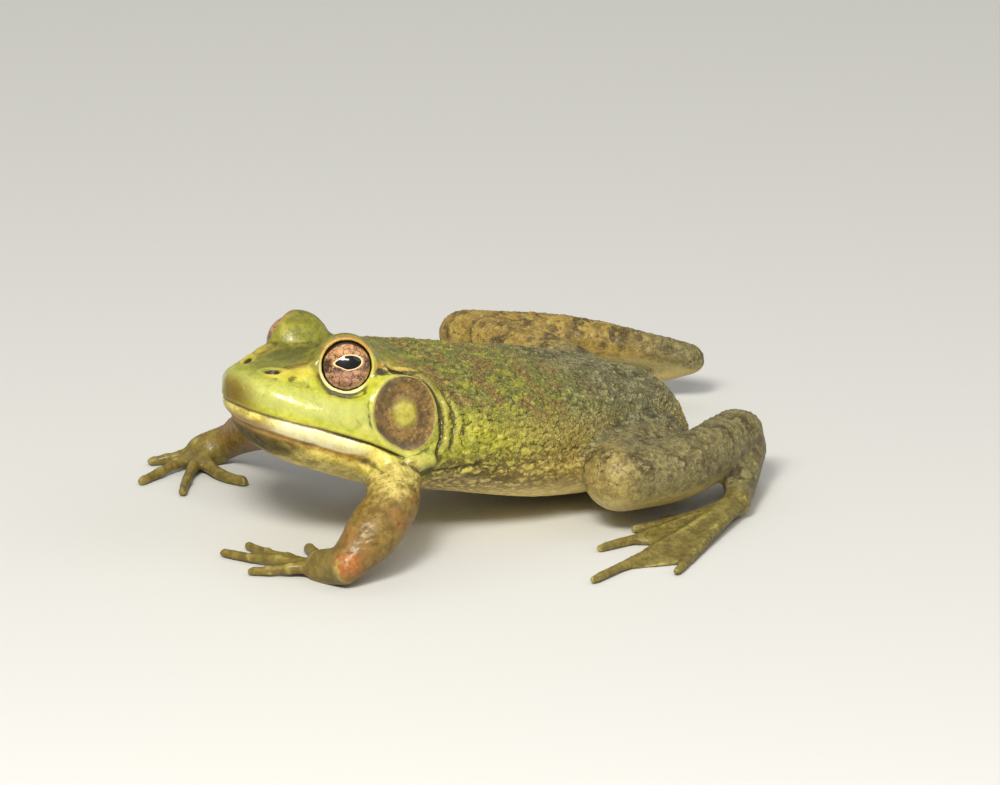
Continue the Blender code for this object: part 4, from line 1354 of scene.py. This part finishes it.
def granule_tree():
    """Scatter beads over a mesh where its number "warty" allows them, and make them real."""
    tree = bpy.data.node_groups.new("granules", "GeometryNodeTree")
    for name, kind in (("Geometry", "Geometry"), ("Per mm2", "Float"), ("Smallest", "Float"),
                       ("Largest", "Float"), ("Material", "Material")):
        tree.interface.new_socket(name, in_out="INPUT", socket_type=f"NodeSocket{kind}")
    tree.interface.new_socket("Geometry", in_out="OUTPUT", socket_type="NodeSocketGeometry")
    start = tree.nodes.new("NodeGroupInput")
    end = tree.nodes.new("NodeGroupOutput")
    skin_way, per_mm2, smallest, largest, material = [Wire(tree, socket) for socket in start.outputs][:5]
    warty = skin_way.node("GeometryNodeInputNamedAttribute", {"data_type": "FLOAT"}, {"Name": "warty"})
    points = skin_way.node("GeometryNodeDistributePointsOnFaces", None, {
        "Mesh": skin_way, "Density": warty * per_mm2 * (1 / MM ** 2), "Seed": SCATTER_SEED})
    turned = Wire(tree, points.socket.node.outputs["Rotation"])
    bead = skin_way.node("GeometryNodeMeshIcoSphere", None, {"Radius": 1.0, "Subdivisions": 1})
    bead = skin_way.node("GeometryNodeTransform", None, {
        "Geometry": bead, "Scale": (1.0, 1.0, GRANULE_FLATNESS)})
    bead = skin_way.node("GeometryNodeSetShadeSmooth", None, {"Geometry": bead})
    size = skin_way.node("FunctionNodeRandomValue", {"data_type": "FLOAT"},
                         {2: smallest, 3: largest, "Seed": SIZE_SEED}, out=1)
    beads = skin_way.node("GeometryNodeInstanceOnPoints", None, {
        "Points": points, "Instance": bead, "Rotation": turned,
        "Scale": size * MM * (warty * (1 - SMALLEST_SHARE) + SMALLEST_SHARE)})
    real = skin_way.node("GeometryNodeRealizeInstances", None, {"Geometry": beads})
    real = skin_way.node("GeometryNodeSetMaterial", None, {"Geometry": real, "Material": material})
    tree.links.new(real.socket, end.inputs[0])
    return tree


granules = bpy.data.objects.new("skin_granules", skin_mesh.copy())
bpy.context.scene.collection.objects.link(granules)
scatter = granules.modifiers.new("scatter", "NODES")
scatter.node_group = granule_tree()
sockets = {item.name: item.identifier for item in scatter.node_group.interface.items_tree
           if item.in_out == "INPUT"}
for key, value in (("Per mm2", GRANULES_PER_MM2), ("Smallest", GRANULE_RADIUS[0]),
                   ("Largest", GRANULE_RADIUS[1]), ("Material", skin_finish.material)):
    scatter[sockets[key]] = value
granule_mesh = take_in(granules)
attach(granules, "root")
print("granule triangles", len(granule_mesh.polygons))

# %% [markdown]
# ## Eyeballs
# The eye is a wet ball with a copper iris, a horizontal black pupil in a thin gold rim, and dark
# threads that gather into a band in front of and behind the pupil. A glass cornea over a deep iris
# is the costly way to make it. Here one ball with a slight corneal swelling carries the pattern,
# and the material's clear coat gives the wet gloss.

# %% Shape the eyeballs
EYE_RADIUS = 6.86
EYE_SUNK = 0.012           # share of its radius by which the ball stays inside the solid's
CORNEA = 0.10              # how far the cornea swells
EYE_SEGMENTS = 96
EYE_RINGS = 64


def make_eyeball(name, side):
    """One eyeball, with its distances from the line of sight kept on its points."""
    look, front, top = sight_axes(side)
    bm = bmesh.new()
    bmesh.ops.create_uvsphere(bm, u_segments=EYE_SEGMENTS, v_segments=EYE_RINGS, radius=1.0)
    for vertex in bm.verts:
        way = np.array(vertex.co)
        reach = EYE_RADIUS * (1 - EYE_SUNK) + CORNEA * float(smooth_step(way[2], 0.45, 1.0))
        place = mirrored(EYE, side) + (front * way[0] + top * way[1] + look * way[2]) * reach
        vertex.co = to_world(place)[0]
    bmesh.ops.recalc_face_normals(bm, faces=bm.faces)
    mesh = bpy.data.meshes.new(name)
    bm.to_mesh(mesh)
    bm.free()
    mesh.polygons.foreach_set("use_smooth", [True] * len(mesh.polygons))
    ball = bpy.data.objects.new(name, mesh)
    bpy.context.scene.collection.objects.link(ball)
    places = to_frog(np.array([vertex.co for vertex in mesh.vertices])) - mirrored(EYE, side)
    for key, axis in (("to_front", front), ("to_top", top), ("ahead", look)):
        layer = mesh.attributes.new(key, "FLOAT", "POINT")
        layer.data.foreach_set("value", (places @ axis).astype(np.float32))
    return ball


eyeballs = {name: make_eyeball(f"eyeball_{name}", side) for name, side in (("left", 1), ("right", -1))}
print("eyeball faces", len(eyeballs["left"].data.polygons))

# %% [markdown]
# ## The iris
# Distances on the ball are kept in millimetres from the line of sight, so the pupil is an ellipse
# in those, pinched at its front corner, and every ring of the iris is a step in the same distance.
# The dark threads are the borders of stretched cells.

# %% Paint the eyes
PUPIL_LONG = 3.15
PUPIL_HIGH = 1.66
PUPIL_MIDDLE = (-0.2, 0.85)   # towards the front corner and the top, from the line of sight

eye_finish = Finish("frog_eye")
to_front = eye_finish.read("to_front")
to_top = eye_finish.read("to_top")
along = to_front - PUPIL_MIDDLE[0]
above = to_top - PUPIL_MIDDLE[1]
pinched = above * (1.0 + along.step(0.3, 2.9) * 0.55)
pupil = (along * along * (1 / PUPIL_LONG ** 2) + pinched * pinched * (1 / PUPIL_HIGH ** 2)).root()

clouds = eye_finish.noise(1.3, detail=4.0, roughness=0.65)
loose_place = eye_finish.warped(1.6, 1.1)
threads = eye_finish.cells(2.1, "DISTANCE_TO_EDGE", (1.0, 1.0, 1.3), loose_place)
fine_threads = eye_finish.cells(0.55, "DISTANCE_TO_EDGE", place=loose_place)
iris = clouds.step(0.35, 0.65).blend((152, 104, 68), (196, 152, 106))
lower_iris = clouds.step(0.38, 0.6).blend((168, 120, 96), (206, 156, 128))
iris = to_top.step(0.6, -3.6).blend(iris, lower_iris)
iris = (threads.step(0.060, 0.018) * 0.85).blend(iris, (46, 22, 16))
belt = (above + 0.5).size().step(2.3, 1.0) * pupil.step(1.15, 1.5)
belt = belt * fine_threads.step(0.16, 0.05).larger(clouds.step(0.56, 0.46))
iris = (belt * 0.9).blend(iris, (44, 22, 16))
iris = (to_top.step(-0.5, -2.6) * fine_threads.step(0.10, 0.03) * 0.55).blend(iris, (74, 42, 32))
edge = (to_front * to_front + to_top * to_top).root()
edge = edge + to_top.step(2.0, 5.5) * 0.40 - to_top.step(-1.0, -4.0) * 0.22
iris = edge.step(5.52, 5.70).blend(iris, (20, 16, 12))
iris = pupil.step(1.20, 1.12).blend(iris, (240, 214, 158))
iris = pupil.step(1.06, 1.0).blend(iris, (6, 6, 6))
iris = eye_finish.read("ahead").step(2.4, 1.6).blend(iris, (30, 24, 16))
eye_finish.feed("Base Color", iris)
eye_finish.set(Roughness=0.45, Specular_IOR_Level=0.12, Coat_Weight=1.0, Coat_Roughness=0.03)
eye_finish.bump(clouds, strength=0.25, distance=0.1)

for side_name, ball in eyeballs.items():
    ball.data.materials.append(eye_finish.material)
    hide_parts(f"eye_{side_name}")
    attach(ball, "root")
print("eye material nodes", len(eye_finish.tree.nodes))

# %% [markdown]
# ## Floor and lamps
# A pale floor and large soft lamps show form and gloss without hard shadows, as a studio does. The
# main lamp and a long narrow one stand high and a little to the front of the frog, so that the
# snout and the lids catch them. One hard sun would hide half of the skin's relief in shadow.

# %% Floor and lamps
TARGET = Vector(to_world((56.6, 0.0, 27.4))[0])
FLOOR_HALF = 6.0
FLOOR_LEVEL = -0.0002      # a hair under the frog, so that its soles don't flicker
WARM = (1.0, 0.97, 0.90)
LAMPS = (
    # name, azimuth, elevation, distance, width, height, power, tint
    ("key", 42, 43, 1.4, 0.34, None, 14.5, WARM),
    ("strip", 48, 40, 1.4, 1.0, 0.16, 12.5, WARM),
    ("fill", 130, 40, 1.6, 1.3, None, 4.0, (1.0, 1.0, 1.0)),
    ("back", 250, 60, 1.6, 1.3, None, 3.0, (1.0, 1.0, 1.0)),
)
SKY = (0.88, 0.87, 0.84, 1.0)
SKY_STRENGTH = 0.36


def aim(thing, azimuth, elevation, distance):
    """Put a lamp or camera at this distance from the frog and turn it to the frog."""
    azimuth, elevation = math.radians(azimuth), math.radians(elevation)
    back = Vector((math.sin(azimuth) * math.cos(elevation), -math.cos(azimuth) * math.cos(elevation),
                   math.sin(elevation)))
    thing.location = TARGET + back * distance
    thing.rotation_mode = "QUATERNION"
    thing.rotation_quaternion = (-back).to_track_quat("-Z", "Y")
    bpy.context.scene.collection.objects.link(thing)


floor_mesh = bpy.data.meshes.new("floor")
corners = ((-1, -1), (1, -1), (1, 1), (-1, 1))
corners = [(x * FLOOR_HALF, y * FLOOR_HALF, FLOOR_LEVEL) for x, y in corners]
floor_mesh.from_pydata(corners, [], [(0, 1, 2, 3)])
floor = bpy.data.objects.new("floor", floor_mesh)
bpy.context.scene.collection.objects.link(floor)
floor_mesh.materials.append(floor_finish.material)
floor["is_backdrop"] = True

for name, azimuth, elevation, distance, width, height, power, tint in LAMPS:
    lamp = bpy.data.lights.new(name, "AREA")
    lamp.shape = "RECTANGLE" if height else "DISK"
    lamp.size = width
    lamp.size_y = height or width
    lamp.energy = power
    lamp.color = tint
    aim(bpy.data.objects.new(name, lamp), azimuth, elevation, distance)
world = bpy.data.worlds.new("studio")
world.use_nodes = True
world.node_tree.nodes["Background"].inputs["Color"].default_value = SKY
world.node_tree.nodes["Background"].inputs["Strength"].default_value = SKY_STRENGTH
bpy.context.scene.world = world
bpy.context.scene.view_settings.view_transform = "Standard"
print("lamps", len(LAMPS))

# %% [markdown]
# ## Camera
# The camera looks at the frog from its front left and a little above, as someone kneeling at a pond
# does. A long lens from four metres keeps the near eye and the far leg in proportion. A short lens
# close by would show the same width, but would swell the snout.

# %% Camera
CAMERA_AZIMUTH = 55
CAMERA_ELEVATION = 18
CAMERA_DISTANCE = 4.0
PICTURE_WIDTH = 0.2456     # metres across the whole picture, at the frog
SENSOR = 36.0

camera_data = bpy.data.cameras.new("camera")
camera_data.sensor_width = SENSOR
camera_data.lens = SENSOR * CAMERA_DISTANCE / PICTURE_WIDTH
camera_data.clip_end = 40.0
camera = bpy.data.objects.new("camera", camera_data)
aim(camera, CAMERA_AZIMUTH, CAMERA_ELEVATION, CAMERA_DISTANCE)
bpy.context.scene.camera = camera
print("camera lens", round(camera_data.lens), "mm")

# %% [markdown]
# ## Size kept
# The finished model's box is printed as its distance from the imported box, to show that the skin
# kept the frog's true size.

# %% Finish
made_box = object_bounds()
for low_high, cad, made in zip(("low", "high"), cad_box, made_box):
    print(low_high, [round((a - b) / MM, 2) for a, b in zip(made, cad)], "mm from the frame's box")
